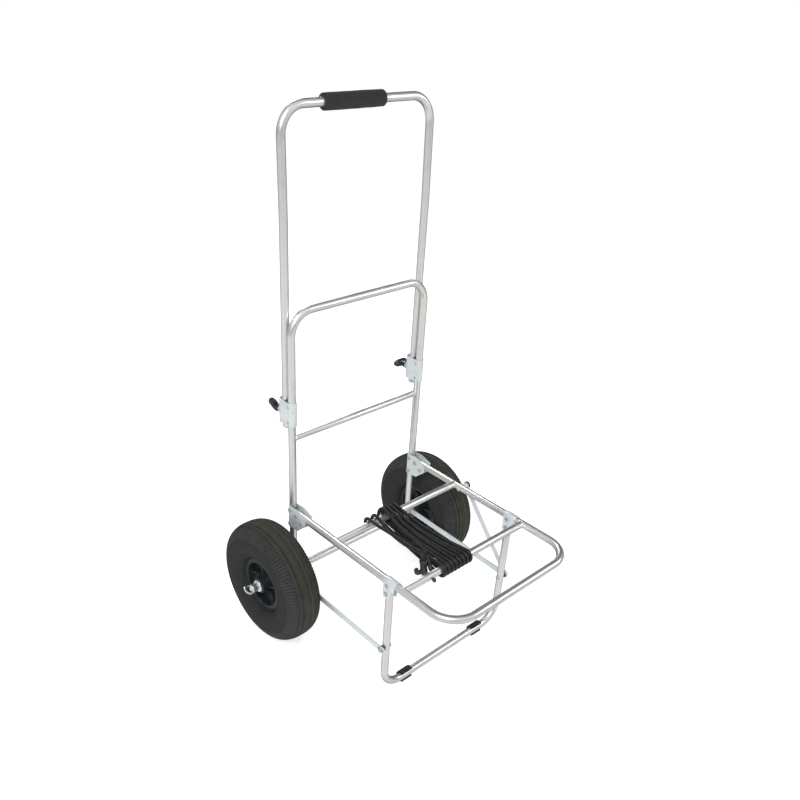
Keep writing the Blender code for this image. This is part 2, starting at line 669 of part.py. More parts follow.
def clamp_knob(side, word, bodies):
    """A plastic bar knob on a steel screw whose tip bears on the handle's leg."""
    parent = bodies["knob_" + word]
    tip = AXLE_Y + HANDLE_BACK + TUBE_RADIUS + CLEARANCE
    screw = turned("knob_screw_" + word, [(0, SCREW_LENGTH), (SCREW_RADIUS, SCREW_LENGTH),
                                          (SCREW_RADIUS, CHAMFER), (SCREW_RADIUS - CHAMFER, 0), (0, 0)],
                   PIN_SIDES)
    screw.location = (side * LEG_X, tip, KNOB_HEIGHT)
    screw.rotation_euler = (-math.pi / 2, 0, 0)
    add(screw, parent, PLATED)
    name = "clamp_knob_" + word
    start = AXLE_Y + KNOB_START
    form = bmesh.new()
    size = Matrix.Diagonal((KNOB_SPAN, KNOB_THICKNESS, KNOB_THICKNESS, 1))
    bmesh.ops.create_cube(form, size=1, matrix=size)
    bmesh.ops.bevel(form, geom=form.edges[:], offset=KNOB_ROUNDING, segments=2, affect="EDGES", profile=0.5)
    mesh = bpy.data.meshes.new(name)
    form.to_mesh(mesh)
    form.free()
    obj = link(name, mesh)
    bar_y = start + KNOB_HUB_LENGTH + KNOB_BURIAL
    obj.location = (side * LEG_X, bar_y, KNOB_HEIGHT)
    obj.rotation_euler = (0, KNOB_ANGLES[word], 0)
    hub = cylinders(name + "_hub", [((0, start - bar_y, 0), (0, 0, 0), KNOB_HUB_RADIUS)])
    hub.location = obj.location
    hub.rotation_euler = obj.rotation_euler
    combine(obj, "UNION", hub)
    drill(obj, [((0, start - bar_y - CUT_SPARE, 0), (0, tip + SCREW_LENGTH + CLEARANCE - bar_y, 0),
                 SCREW_RADIUS + CLEARANCE)])
    bore = obj.modifiers[-1].object
    bore.location = obj.location
    bore.rotation_euler = obj.rotation_euler
    smooth(mesh)
    add(obj, parent, GLOSS_BLACK)


def handle(bodies):
    back = AXLE_Y + HANDLE_BACK
    top = back + HANDLE_LEAN
    left = ((-LEG_X, back, HANDLE_BOTTOM), (-LEG_X, back, HANDLE_LEAN_START), (-LEG_X, top, HANDLE_TOP))
    right = [(-x, y, z) for x, y, z in reversed(left)]
    radii = (HANDLE_LEAN_BEND, BEND_RADIUS, BEND_RADIUS, HANDLE_LEAN_BEND)
    add(tube("handle_tube", rounded_path((*left, *right), radii)), bodies["handle"], METAL)
    bore = TUBE_RADIUS + CLEARANCE
    end = GRIP_LENGTH / 2
    profile = [(bore, end), (GRIP_RADIUS - GRIP_CHAMFER, end), (GRIP_RADIUS, end - GRIP_CHAMFER),
               (GRIP_RADIUS, GRIP_CHAMFER - end), (GRIP_RADIUS - GRIP_CHAMFER, -end), (bore, -end)]
    grip = turned("foam_grip", profile, closed=True)
    turn_outward(grip, 1, GRIP_CENTRE_X, top, HANDLE_TOP)
    add(grip, bodies["handle"], FOAM)


# Platform


def platform(bodies):
    parent = bodies["platform"]
    rear = AXLE_Y + PLATFORM_REAR
    front = AXLE_Y + PLATFORM_FRONT
    corners = [(-LEG_X, rear), (-LEG_X, front), (LEG_X, front), (LEG_X, rear)]
    path = rounded_path([(x, y, PLATFORM_HEIGHT) for x, y in corners], (PLATFORM_BEND, PLATFORM_BEND))
    obj = tube("platform_tube", path)
    rods = [across(1, AXLE_Y + STUD_Y, PLATFORM_HEIGHT, STUD_RADIUS + CLEARANCE)]
    for side, _ in SIDES:
        rods.append(across(side, AXLE_Y + FOLD_Y, PLATFORM_HEIGHT, RIVET_RADIUS + CLEARANCE))
        rods.append(across(side, AXLE_Y + STAND_Y, PLATFORM_HEIGHT - CLIP_RIVET_DROP,
                           RIVET_RADIUS + CLEARANCE))
    drill(obj, rods)
    add(obj, parent, METAL)
    for name, y in (("rear_crossbar", REAR_BAR_Y), ("front_crossbar", FRONT_BAR_Y)):
        low = (AXLE_Y + y - BEND_RADIUS, PLATFORM_HEIGHT)
        high = (AXLE_Y + y + BEND_RADIUS, PLATFORM_HEIGHT)
        coped_bar(name, AXLE_Y + y, PLATFORM_HEIGHT, TUBE_RADIUS, TUBE_WALL, low, high, parent)


def stand_clip(side, word, bodies):
    """A saddle over the platform's side tube whose two tabs take the stand's pivot."""
    points = ((CLIP_REAR, PLATFORM_HEIGHT + PLATE_OUT + CUT_SPARE),
              (CLIP_FRONT, PLATFORM_HEIGHT + PLATE_OUT + CUT_SPARE), (CLIP_FRONT, CLIP_STEP),
              (CLIP_TAB_FRONT, CLIP_STEP), (CLIP_TAB_FRONT, CLIP_BOTTOM), (CLIP_REAR, CLIP_BOTTOM))
    obj = outline("stand_clip_" + word, [(y + AXLE_Y, z) for y, z in points],
                  2 * (PLATE_OUT + CUT_SPARE))
    side_view(obj, side * LEG_X)
    obj = meshed(obj)
    leg = CLIP_BOTTOM - CUT_SPARE - PLATFORM_HEIGHT
    saddle = arc((0, 0), PLATE_OUT, 0, math.pi, HALF_TURN_STEPS) + [(-PLATE_OUT, leg), (-PLATE_IN, leg)]
    saddle += arc((0, 0), PLATE_IN, math.pi, 0, HALF_TURN_STEPS) + [(PLATE_IN, leg), (PLATE_OUT, leg)]
    length = CLIP_REAR - CLIP_FRONT + 2 * CUT_SPARE
    wrap = outline(obj.name + "_wrap", saddle, length, cutter=True)
    wrap.location = (side * LEG_X, AXLE_Y + (CLIP_REAR + CLIP_FRONT) / 2, PLATFORM_HEIGHT)
    wrap.rotation_euler = (math.pi / 2, 0, 0)
    combine(obj, "INTERSECT", meshed(wrap))
    drill(obj, [across(side, AXLE_Y + STAND_Y, height, RIVET_RADIUS + CLEARANCE)
                for height in (STAND_PIVOT_HEIGHT, PLATFORM_HEIGHT - CLIP_RIVET_DROP)])
    add(obj, bodies["platform"], PLATED)
    rivet("clip_rivet_" + word, side, AXLE_Y + STAND_Y, PLATFORM_HEIGHT - CLIP_RIVET_DROP, RIVET_HEAD,
          bodies["platform"])


def lock_stud(bodies):
    """A shouldered stud through the right-hand side tube, with a plastic cap that keeps the stay on."""
    parent = bodies["platform"]
    shank_end = STAY_OUT + CLEARANCE + STUD_CAP_LENGTH / 2
    profile = [(0, shank_end), (STUD_RADIUS, shank_end), (STUD_RADIUS, STRAP_OUT), (STUD_COLLAR, STRAP_OUT),
               (STUD_COLLAR, TUBE_RADIUS + CLEARANCE), (STUD_RADIUS, TUBE_RADIUS + CLEARANCE),
               (STUD_RADIUS, -TUBE_RADIUS - CLEARANCE), (RIVET_HEAD, -TUBE_RADIUS - CLEARANCE),
               (RIVET_HEAD, -TUBE_RADIUS - CLEARANCE - RIVET_HEIGHT),
               (0, -TUBE_RADIUS - CLEARANCE - RIVET_HEIGHT)]
    stud = turned("lock_stud", profile, PIN_SIDES)
    turn_outward(stud, 1, LEG_X, AXLE_Y + STUD_Y, PLATFORM_HEIGHT)
    add(stud, parent, PLATED)
    low = STAY_OUT + CLEARANCE
    top = low + STUD_CAP_LENGTH
    bore = STUD_RADIUS + CLEARANCE
    edge = CHAMFER
    cap = turned("lock_stud_cap", [(0, top), (STUD_CAP_RADIUS - edge, top), (STUD_CAP_RADIUS, top - edge),
                                   (STUD_CAP_RADIUS, low), (bore, low), (bore, shank_end + CLEARANCE),
                                   (0, shank_end + CLEARANCE)])
    turn_outward(cap, 1, LEG_X, AXLE_Y + STUD_Y, PLATFORM_HEIGHT)
    add(cap, parent, GLOSS_BLACK)


# Stand, straps and stay


def stand(bodies):
    y = AXLE_Y + STAND_Y
    corners = [(-LEG_X, STAND_TOP), (-LEG_X, STAND_BAR_Z), (LEG_X, STAND_BAR_Z), (LEG_X, STAND_TOP)]
    path = rounded_path([(x, y, z) for x, z in corners], (BEND_RADIUS, BEND_RADIUS))
    obj = tube("stand_tube", path)
    rods = []
    for side, _ in SIDES:
        rods.append(across(side, y, STAND_PIVOT_HEIGHT, RIVET_RADIUS + CLEARANCE))
        rods.append(across(side, y, STRAP_FOOT_HEIGHT, BOLT_RADIUS + CLEARANCE))
    drill(obj, rods)
    add(obj, bodies["stand"], METAL)


def foot(word, bodies):
    """A rubber C that snaps on the stand's bottom bar from the back, with a flat sole."""
    bore = TUBE_RADIUS + CLEARANCE
    wall = bore + SOLE - CLEARANCE
    lip = math.pi - FOOT_OPENING
    ring = arc((0, 0), bore, lip, -lip, FOOT_STEPS)
    ring += [(-SOLE_HALF_LENGTH, -wall), (SOLE_HALF_LENGTH, -wall)]
    ring += arc((0, 0), wall, -SOLE_CORNER, lip, FOOT_STEPS)
    obj = outline("foot_" + word, ring, FOOT_LENGTH)
    side_view(obj, FOOT_X[word], AXLE_Y + STAND_Y, STAND_BAR_Z)
    add(obj, bodies["stand"], MATT_BLACK)


def stand_fasteners(side, word, bodies):
    parent = bodies["stand"]
    y = AXLE_Y + STAND_Y
    rivet("stand_pivot_" + word, side, y, STAND_PIVOT_HEIGHT, RIVET_HEAD, parent)
    seat = STAY_OUT if side > 0 else STRAP_OUT
    low = seat + CLEARANCE
    top = low + BOLT_HEIGHT
    nut = TUBE_RADIUS + CLEARANCE
    bolt = turned("brace_bolt_" + word, [(0, top), (BOLT_HEAD - CHAMFER, top), (BOLT_HEAD, top - CHAMFER),
                                         (BOLT_HEAD, low), (BOLT_RADIUS, low), (BOLT_RADIUS, -nut),
                                         (RIVET_HEAD, -nut), (RIVET_HEAD, -nut - BOLT_HEIGHT),
                                         (0, -nut - BOLT_HEIGHT)], PIN_SIDES)
    turn_outward(bolt, side, LEG_X, y, STRAP_FOOT_HEIGHT)
    add(bolt, parent, PLATED)
    profile = ring_profile(BOLT_RADIUS + CLEARANCE, SPACER_RADIUS, TUBE_RADIUS + CLEARANCE,
                           STRAP_IN - CLEARANCE)
    spacer = turned("brace_spacer_" + word, profile, closed=True)
    turn_outward(spacer, side, LEG_X, y, STRAP_FOOT_HEIGHT)
    add(spacer, parent, MATT_BLACK)


def brace(side, word, bodies):
    """A flat strap from the axle to the stand's leg, with a slot where the linkage needs play."""
    reach = Vector((STAND_Y, STRAP_FOOT_HEIGHT - AXLE_Z))
    length = reach.length
    turn = math.atan2(reach.y, reach.x)
    hole = arc((0, 0), AXLE_RADIUS + CLEARANCE, 0, 2 * math.pi * (1 - 1 / ROUND_SIDES), ROUND_SIDES - 1)
    slot_radius = BOLT_RADIUS + SLOT_HALF_SLACK + CLEARANCE
    slot = [(length - SLOT_HALF_TRAVEL + x, y) for x, y in capsule(2 * SLOT_HALF_TRAVEL, slot_radius)]
    edge = capsule(length + STRAP_OVERRUN, STRAP_WIDTH / 2)
    obj = outline("brace_" + word, edge, STRAP_THICKNESS, holes=(hole, slot))
    side_view(obj, side * (LEG_X + (STRAP_IN + STRAP_OUT) / 2), AXLE_Y, AXLE_Z, turn)
    add(obj, bodies["brace_" + word], PLATED)


def lock_bar(bodies):
    """A flat stay hinged on the right-hand brace bolt, with a hooked head that drops over the stud."""
    x = LEG_X + (STAY_IN + STAY_OUT) / 2
    foot_y = AXLE_Y + STAND_Y
    reach = Vector((STUD_Y - STAND_Y, PLATFORM_HEIGHT - STRAP_FOOT_HEIGHT))
    turn = math.atan2(reach.y, reach.x)
    hole = arc((0, 0), BOLT_RADIUS + CLEARANCE, 0, 2 * math.pi * (1 - 1 / PIN_SIDES), PIN_SIDES - 1)
    obj = outline("lock_bar", capsule(reach.length, STAY_WIDTH / 2), STAY_THICKNESS, holes=(hole,))
    side_view(obj, x, foot_y, STRAP_FOOT_HEIGHT, turn)
    obj = meshed(obj)
    stud = Vector((AXLE_Y + STUD_Y, PLATFORM_HEIGHT))
    half = STAY_THICKNESS / 2
    head = cylinders("lock_bar_head", [((x - half, *stud), (x + half, *stud), STAY_HEAD)], ROUND_SIDES)
    combine(obj, "UNION", head)
    seat = STUD_RADIUS + CLEARANCE
    drill(obj, [((x - CUT_SPARE, *stud), (x + CUT_SPARE, *stud), seat)])
    upper, lower = (Vector((math.cos(a), math.sin(a))) for a in STAY_MOUTH_ANGLES)
    upper_wall = Vector((-upper.y, upper.x)) * seat
    lower_wall = Vector((lower.y, -lower.x)) * seat
    mouth = [stud + upper_wall, stud + upper_wall + upper * STAY_MOUTH,
             stud + (upper + lower).normalized() * (2 * STAY_MOUTH),
             stud + lower_wall + lower * STAY_MOUTH, stud + lower_wall]
    opening = outline("lock_bar_mouth", [tuple(point) for point in mouth], 2 * CUT_SPARE, cutter=True)
    side_view(opening, x)
    combine(obj, "DIFFERENCE", meshed(opening))
    add(obj, bodies["lock_bar"], PLATED)


# Wheels


def tyre_curve(inset, last, count):
    """Half-width against radius round the tyre's section, a superellipse pulled in by inset."""
    middle = (WHEEL_RADIUS + TYRE_ROOT_RADIUS) / 2
    half_height = (WHEEL_RADIUS - TYRE_ROOT_RADIUS) / 2 - inset
    half_width = TYRE_HALF_WIDTH - inset
    points = []
    for k in range(count):
        angle = last - 2 * last * k / (count - 1)
        rise = math.copysign(abs(math.cos(angle)) ** (2 / TYRE_FULLNESS), math.cos(angle))
        spread = math.copysign(abs(math.sin(angle)) ** (2 / TYRE_FULLNESS), math.sin(angle))
        points.append((middle + half_height * rise, half_width * spread))
    return points


def tyre(side, word, bodies):
    bead_radius = RIM_SEAT_RADIUS + CLEARANCE
    outside = tyre_curve(0, TYRE_LAST_ANGLE, TYRE_POINTS)
    inside = tyre_curve(TYRE_WALL, TYRE_LAST_ANGLE, TYRE_INNER_POINTS)
    inner_bead = BEAD_HALF_WIDTH - BEAD_THICKNESS
    profile = [(bead_radius, BEAD_HALF_WIDTH), *outside, (bead_radius, -BEAD_HALF_WIDTH),
               (bead_radius, -inner_bead)]
    profile += [(radius, place) for radius, place in reversed(inside)]
    profile += [(bead_radius, inner_bead)]
    obj = turned("tyre_" + word, profile, WHEEL_STEPS, closed=True)
    turn_outward(obj, side, WHEEL_X, AXLE_Y, AXLE_Z)
    add(obj, bodies["wheel_" + word], RUBBER)


def inner_tube(side, word, bodies):
    """The air tube inside the tyre, a thin ring with its valve stem through the rim."""
    name = "inner_tube_" + word
    last = math.pi * (1 - 1 / TUBE_POINTS)

    def ring(inset):
        middle = (WHEEL_RADIUS + TYRE_ROOT_RADIUS) / 2
        half_height = (WHEEL_RADIUS - TYRE_ROOT_RADIUS) / 2 - inset
        half_width = TYRE_HALF_WIDTH - inset
        angles = [last - 2 * last * k / (TUBE_POINTS - 1) for k in range(TUBE_POINTS)]
        return [(middle + half_height * math.cos(a), half_width * math.sin(a)) for a in angles]

    outer = TYRE_WALL + TUBE_GAP
    obj = turned(name, ring(outer), TUBE_STEPS, closed=True)
    turn_outward(obj, side, WHEEL_X, AXLE_Y, AXLE_Z)
    hollow = turned(name + "_air", ring(outer + TUBE_SKIN), TUBE_STEPS, closed=True, cutter=True)
    turn_outward(hollow, side, WHEEL_X, AXLE_Y, AXLE_Z)
    root = TYRE_ROOT_RADIUS + outer + TUBE_SKIN
    x = side * (WHEEL_X + VALVE_OFFSET)
    stem = cylinders(name + "_stem", [((x, AXLE_Y, AXLE_Z + RIM_SEAT_RADIUS - VALVE_LENGTH),
                                       (x, AXLE_Y, AXLE_Z + root + TUBE_SKIN), VALVE_RADIUS)])
    combine(obj, "UNION", stem)
    combine(obj, "DIFFERENCE", hollow)
    drill(obj, [((x, AXLE_Y, AXLE_Z + RIM_SEAT_RADIUS - VALVE_LENGTH - CUT_SPARE),
                 (x, AXLE_Y, AXLE_Z + root + 4 * TUBE_SKIN), VALVE_BORE)])
    add(obj, bodies["wheel_" + word], RUBBER)


def rim(side, word, bodies):
    """A moulded rim: a bead seat with two flanges, a web with ribs, and a long hub."""
    name = "rim_" + word
    bore = BUSH_RADIUS + CLEARANCE
    barrel = RIM_SEAT_RADIUS - RIM_WALL
    seat = BEAD_HALF_WIDTH + RIM_BEAD_GAP
    edge = seat + RIM_FLANGE
    web = RIM_WEB / 2
    profile = [(bore, HUB_OUTER_REACH), (HUB_RADIUS, HUB_OUTER_REACH), (HUB_RADIUS, web), (barrel, web),
               (barrel, edge), (RIM_FLANGE_RADIUS, edge), (RIM_FLANGE_RADIUS, seat), (RIM_SEAT_RADIUS, seat),
               (RIM_SEAT_RADIUS, -seat), (RIM_FLANGE_RADIUS, -seat), (RIM_FLANGE_RADIUS, -edge),
               (barrel, -edge), (barrel, -web), (HUB_RADIUS, -web), (HUB_RADIUS, -HUB_INNER_REACH),
               (bore, -HUB_INNER_REACH)]
    obj = turned(name, profile, WHEEL_STEPS, closed=True)
    turn_outward(obj, side, WHEEL_X, AXLE_Y, AXLE_Z)
    form = bmesh.new()
    middle = (HUB_RADIUS + barrel) / 2
    size = Matrix.Diagonal((barrel - HUB_RADIUS + RIM_WALL, RIM_RIB_THICKNESS, 2 * RIM_RIB_HALF_DEPTH, 1))
    for k in range(RIM_RIBS):
        turn = Matrix.Rotation(2 * math.pi * (k + 0.5) / RIM_RIBS, 4, "Z")
        bmesh.ops.create_cube(form, size=1, matrix=turn @ Matrix.Translation((middle, 0, 0)) @ size)
    mesh = bpy.data.meshes.new(name + "_ribs")
    form.to_mesh(mesh)
    form.free()
    ribs = link(name + "_ribs", mesh, cutter=True)
    turn_outward(ribs, side, WHEEL_X, AXLE_Y, AXLE_Z)
    combine(obj, "UNION", ribs)
    x = side * (WHEEL_X + VALVE_OFFSET)
    drill(obj, [((x, AXLE_Y, AXLE_Z + barrel - CUT_SPARE), (x, AXLE_Y, AXLE_Z + RIM_FLANGE_RADIUS),
                 VALVE_RADIUS + CLEARANCE)])
    add(obj, bodies["wheel_" + word], RIM_BLACK)


def wheel_bush(side, word, bodies):
    profile = ring_profile(AXLE_RADIUS + CLEARANCE, BUSH_RADIUS, -HUB_INNER_REACH, HUB_OUTER_REACH)
    obj = turned("wheel_bush_" + word, profile, closed=True)
    turn_outward(obj, side, WHEEL_X, AXLE_Y, AXLE_Z)
    add(obj, bodies["wheel_" + word], PLATED)


def hub_washer(side, word, bodies):
    """The domed washer between the hub and the wing nut."""
    low = WHEEL_X + HUB_OUTER_REACH + CLEARANCE
    bore = AXLE_RADIUS + CLEARANCE
    profile = [(bore, WASHER_HEIGHT), (WING_HUB_RADIUS, WASHER_HEIGHT),
               (WASHER_SHOULDER, WASHER_SHOULDER_HEIGHT), (WASHER_RADIUS, WASHER_EDGE),
               (WASHER_RADIUS, 0), (bore, 0)]
    obj = turned("hub_washer_" + word, profile, ROUND_SIDES, closed=True)
    turn_outward(obj, side, low, AXLE_Y, AXLE_Z)
    add(obj, bodies["frame"], CHROME)


def wing_nut(side, word, bodies):
    """A chromed nut with an open wire loop for wings, on the end of the axle rod."""
    name = "wing_nut_" + word
    base = WHEEL_X + HUB_OUTER_REACH + WASHER_HEIGHT + 2 * CLEARANCE
    bore = AXLE_RADIUS + CLEARANCE
    profile = [(bore, WING_HUB_LENGTH), (WING_HUB_RADIUS - CHAMFER, WING_HUB_LENGTH),
               (WING_HUB_RADIUS, WING_HUB_LENGTH - CHAMFER), (WING_HUB_RADIUS, 0), (bore, 0)]
    obj = turned(name, profile, closed=True)
    turn_outward(obj, side, base, AXLE_Y, AXLE_Z)
    foot = Vector((side * base, AXLE_Y, AXLE_Z))
    outward = Vector((side * WING_HUB_LENGTH, 0, 0))
    across = Vector((0, math.cos(WING_ANGLE), math.sin(WING_ANGLE))) * WING_HUB_RADIUS
    route = smooth_route([foot + outward * out + across * aside for out, aside in WING_ROUTE], WING_STEP)
    combine(obj, "UNION", meshed(swept(name + "_loop", route, WING_WIRE_RADIUS, 6, cutter=True)))
    add(obj, bodies["wing_nut_" + word], CHROME)


# Elastic cord


def smooth_route(points, spacing):
    """Points a spacing apart along a Catmull-Rom curve through a route's own points."""
    knots = [Vector(point) for point in points]
    ends = [knots[0] * 2 - knots[1], *knots, knots[-1] * 2 - knots[-2]]
    path = [knots[0]]
    for a, b, c, d in zip(ends, ends[1:], ends[2:], ends[3:]):
        steps = max(1, round((c - b).length / spacing))
        for k in range(1, steps + 1):
            t = k / steps
            path.append(0.5 * (2 * b + (c - a) * t + (2 * a - 5 * b + 4 * c - d) * t ** 2
                               + (3 * b - a - 3 * c + d) * t ** 3))
    return path


def wrap(y, x, radius, front):
    """Half a turn round a crossbar: round the rear bar from top to bottom, round the front bar back up."""
    points = []
    for k in range(WRAP_STEPS + 1):
        angle = math.pi / 2 - math.pi * k / WRAP_STEPS
        if front:
            angle = -math.pi / 2 - math.pi * k / WRAP_STEPS
        points.append(Vector((x, y + radius * math.cos(angle), PLATFORM_HEIGHT + radius * math.sin(angle))))
    return points


def run(start, end, bow=0.0):
    """The inner points of a run between two wraps, sagging a little and bowed to the left."""
    points = []
    for k in range(1, RUN_STEPS):
        point = start.lerp(end, k / RUN_STEPS)
        swell = math.sin(math.pi * k / RUN_STEPS)
        points.append(point - Vector((bow * swell, 0, RUN_SAG * swell)))
    return points


def cord_windings():
    """The turns round both crossbars, from right to left: side by side on the front bar, in two
    layers on the rear bar."""
    rear_y = AXLE_Y + REAR_BAR_Y
    front_y = AXLE_Y + FRONT_BAR_Y
    path = []
    for rear_x, layer, front_x in TURNS:
        rear = wrap(rear_y, rear_x, INNER_WRAP + LAYER * layer, False)
        front = wrap(front_y, front_x, INNER_WRAP, True)
        if path:
            path += run(path[-1], rear[0], RUN_BOW)
        path += rear + run(rear[-1], front[0]) + front
    return path


def grip_hook_frame():
    """Where the hook's wire meets the crossbar's circle, and the way its barrel points."""
    lean = GRIP_HOOK_LEAN
    spoke = Vector((0, math.cos(lean), -math.sin(lean)))
    up = Vector((0, math.sin(lean), math.cos(lean)))
    centre = Vector((GRIP_HOOK_X, AXLE_Y + FRONT_BAR_Y, PLATFORM_HEIGHT))
    return centre, spoke, up


def free_hook_frame():
    """The top of the hanging hook's barrel and the way that it points."""
    top = Vector((FREE_HOOK_X, AXLE_Y + FREE_HOOK_Y, PLATFORM_HEIGHT + FREE_HOOK_RISE))
    return top, Vector((-math.sin(FREE_HOOK_LEAN), 0, math.cos(FREE_HOOK_LEAN)))


def cord_path():
    centre, spoke, up = grip_hook_frame()
    start = centre + spoke * GRIP_HOOK_RADIUS + up * (GRIP_BARREL_RADIUS + GRIP_BARREL_LENGTH + CLEARANCE)
    lead = start + up * 2 * CORD_RADIUS
    windings = cord_windings()
    crossing = [Vector((x, y + AXLE_Y, PLATFORM_HEIGHT + z)) for x, y, z in CROSSING_ROUTE]
    crossing = smooth_route([start, lead, *crossing, windings[0]], CORD_SPACING)
    top, hook_up = free_hook_frame()
    end = top + hook_up * CLEARANCE
    returning = [Vector((x, y + AXLE_Y, PLATFORM_HEIGHT + z)) for x, y, z in RETURN_ROUTE]
    tail = end + hook_up * 2 * CORD_RADIUS
    returning = smooth_route([windings[-1], *returning, tail, end], CORD_SPACING / 2)
    return crossing[:-1] + windings + returning[1:]


def least_gap(path, spacing=0.002):
    """The smallest distance between the surfaces of two stretches of the cord."""
    samples = []
    along = []
    travelled = 0.0
    for start, end in zip(path, path[1:]):
        length = (end - start).length
        count = max(1, round(length / spacing))
        for k in range(count):
            samples.append(tuple(start.lerp(end, k / count)))
            along.append(travelled + length * k / count)
        travelled += length
    samples = np.array(samples)
    along = np.array(along)
    least = math.inf
    for place, distance in zip(samples, along):
        apart = np.linalg.norm(samples - place, axis=1)
        apart[np.abs(along - distance) < LOOP_REACH] = math.inf
        least = min(least, float(apart.min()))
    return least - 2 * CORD_RADIUS, travelled


def elastic_cord(bodies):
    path = cord_path()
    gap, length = least_gap(path)
    print(f"elastic cord: {length:.3f} m long, least gap to itself {gap * 1000:.2f} mm")
    obj = swept("elastic_cord", path, CORD_RADIUS, 6)
    add(obj, bodies["platform"], MATT_BLACK)


def cord_hooks(bodies):
    """A hook gripping the front crossbar from below, and a fatter one hanging free beside it."""
    parent = bodies["platform"]
    centre, spoke, up = grip_hook_frame()
    foot_place = centre + spoke * GRIP_HOOK_RADIUS
    base = foot_place + up * GRIP_BARREL_RADIUS
    barrel = cylinders("grip_barrel", [(base, base + up * GRIP_BARREL_LENGTH, GRIP_BARREL_RADIUS)])
    axis = Vector((1, 0, 0))
    wire = [base + up * GRIP_WIRE_RADIUS, foot_place]
    for k in range(1, HOOK_STEPS + 1):
        part = k / HOOK_STEPS
        round_bar = Quaternion(axis, -GRIP_HOOK_TURN * part) @ spoke * GRIP_HOOK_RADIUS
        wire.append(centre + round_bar - axis * GRIP_HOOK_SKEW * part)
    hook = meshed(swept("cord_hook_gripping", wire, GRIP_WIRE_RADIUS, 8))
    combine(hook, "UNION", barrel)
    add(hook, parent, GLOSS_BLACK)
    top, up = free_hook_frame()
    base = top - up * FREE_BARREL_LENGTH
    barrel = cylinders("free_barrel", [(base, top, FREE_BARREL_RADIUS)])
    aside = Vector((-up.z, 0, up.x))
    root = base + up * FREE_ARM_SEAT
    corner = root + aside * FREE_ARM_REACH
    wire = rounded_path((root, corner, corner + up * FREE_ARM_RISE), (FREE_ARM_BEND,))
    hook = meshed(swept("cord_hook_free", wire, FREE_WIRE_RADIUS, 8))
    combine(hook, "UNION", barrel)
    add(hook, parent, GLOSS_BLACK)


def main():
    bodies = make_bodies()
    main_frame(bodies)
    frame_bars(bodies)
    axle(bodies)
    handle(bodies)
    platform(bodies)
    lock_stud(bodies)
    stand(bodies)
    lock_bar(bodies)
    for side, word in SIDES:
        axle_spacer(side, word, bodies)
        hinge_bracket(side, word, bodies)
        hinge_rivets(side, word, bodies)
        clamp_bracket(side, word, bodies)
        clamp_knob(side, word, bodies)
        stand_clip(side, word, bodies)
        foot(word, bodies)
        stand_fasteners(side, word, bodies)
        brace(side, word, bodies)
        tyre(side, word, bodies)
        inner_tube(side, word, bodies)
        rim(side, word, bodies)
        wheel_bush(side, word, bodies)
        hub_washer(side, word, bodies)
        wing_nut(side, word, bodies)
    elastic_cord(bodies)
    cord_hooks(bodies)


main()
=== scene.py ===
import json
import math

import bmesh
import bpy
from mathutils import Matrix, Quaternion, Vector, noise


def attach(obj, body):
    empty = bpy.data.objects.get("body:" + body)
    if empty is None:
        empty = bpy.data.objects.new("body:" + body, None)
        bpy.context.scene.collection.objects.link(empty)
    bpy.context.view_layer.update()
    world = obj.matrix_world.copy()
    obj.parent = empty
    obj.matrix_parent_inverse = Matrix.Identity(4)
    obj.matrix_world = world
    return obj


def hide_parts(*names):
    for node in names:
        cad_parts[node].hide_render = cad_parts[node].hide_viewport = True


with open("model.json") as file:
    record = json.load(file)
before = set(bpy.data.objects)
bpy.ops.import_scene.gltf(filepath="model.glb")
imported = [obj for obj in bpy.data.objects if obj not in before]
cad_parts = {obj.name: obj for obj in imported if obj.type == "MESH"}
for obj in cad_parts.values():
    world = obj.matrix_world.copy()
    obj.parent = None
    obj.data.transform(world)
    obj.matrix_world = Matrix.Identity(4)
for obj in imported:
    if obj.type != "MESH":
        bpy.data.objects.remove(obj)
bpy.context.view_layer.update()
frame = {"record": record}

SLOTS = {part["node"]: part["material_slot"] for part in frame["record"]["subparts"]}

# Sizes, the same as the solids': metres, y measured back from the axle
AXLE_Y = 0.16175
AXLE_Z = 0.130
CLEARANCE = 0.0003
SIDES = ((-1, "left"), (1, "right"))
TUBE_RADIUS = 0.0075
TUBE_WALL = 0.0012
CROSSBAR_RADIUS = 0.0062
LEG_X = 0.166
BEND_RADIUS = 0.045
PLATE_IN = 0.0078
PLATE_OUT = 0.0094
STRAP_IN = 0.0114
STRAP_OUT = 0.0139
STAY_IN = 0.0142
STAY_OUT = 0.0162

FRAME_TOP = 0.695
FRAME_BOTTOM = 0.118
CROSSBAR_HEIGHT = 0.445
HANDLE_BACK = 0.0172
HANDLE_TOP = 1.028
HANDLE_BOTTOM = 0.463
HANDLE_LEAN_START = 0.850
HANDLE_LEAN = 0.0045
HANDLE_LEAN_BEND = 0.300
HANDLE_DOME = 0.004
GRIP_RADIUS = 0.014
GRIP_LENGTH = 0.131
GRIP_CENTRE_X = -0.016

CLAMP_TOP = 0.523
CLAMP_BOTTOM = 0.474
CLAMP_BACK = 0.0242
CLAMP_CORNER = 0.004
CLAMP_RIVET_HEIGHTS = (0.482, 0.514)
CLAMP_HEAD_RADIUS = 0.0030
CLAMP_HEAD_HEIGHT = 0.0020
BOSS_RADIUS = 0.0070
BOSS_LENGTH = 0.0025
KNOB_HEIGHT = 0.496
KNOB_SPAN = 0.035
KNOB_THICKNESS = 0.014
KNOB_HUB_RADIUS = 0.0070
KNOB_HUB_LENGTH = 0.013
KNOB_BURIAL = 0.0037
KNOB_START = 0.0377
KNOB_ANGLES = {"left": math.radians(57), "right": 0.0}
SCREW_RADIUS = 0.003
SCREW_BORE = SCREW_RADIUS + CLEARANCE
SCREW_LENGTH = 0.024

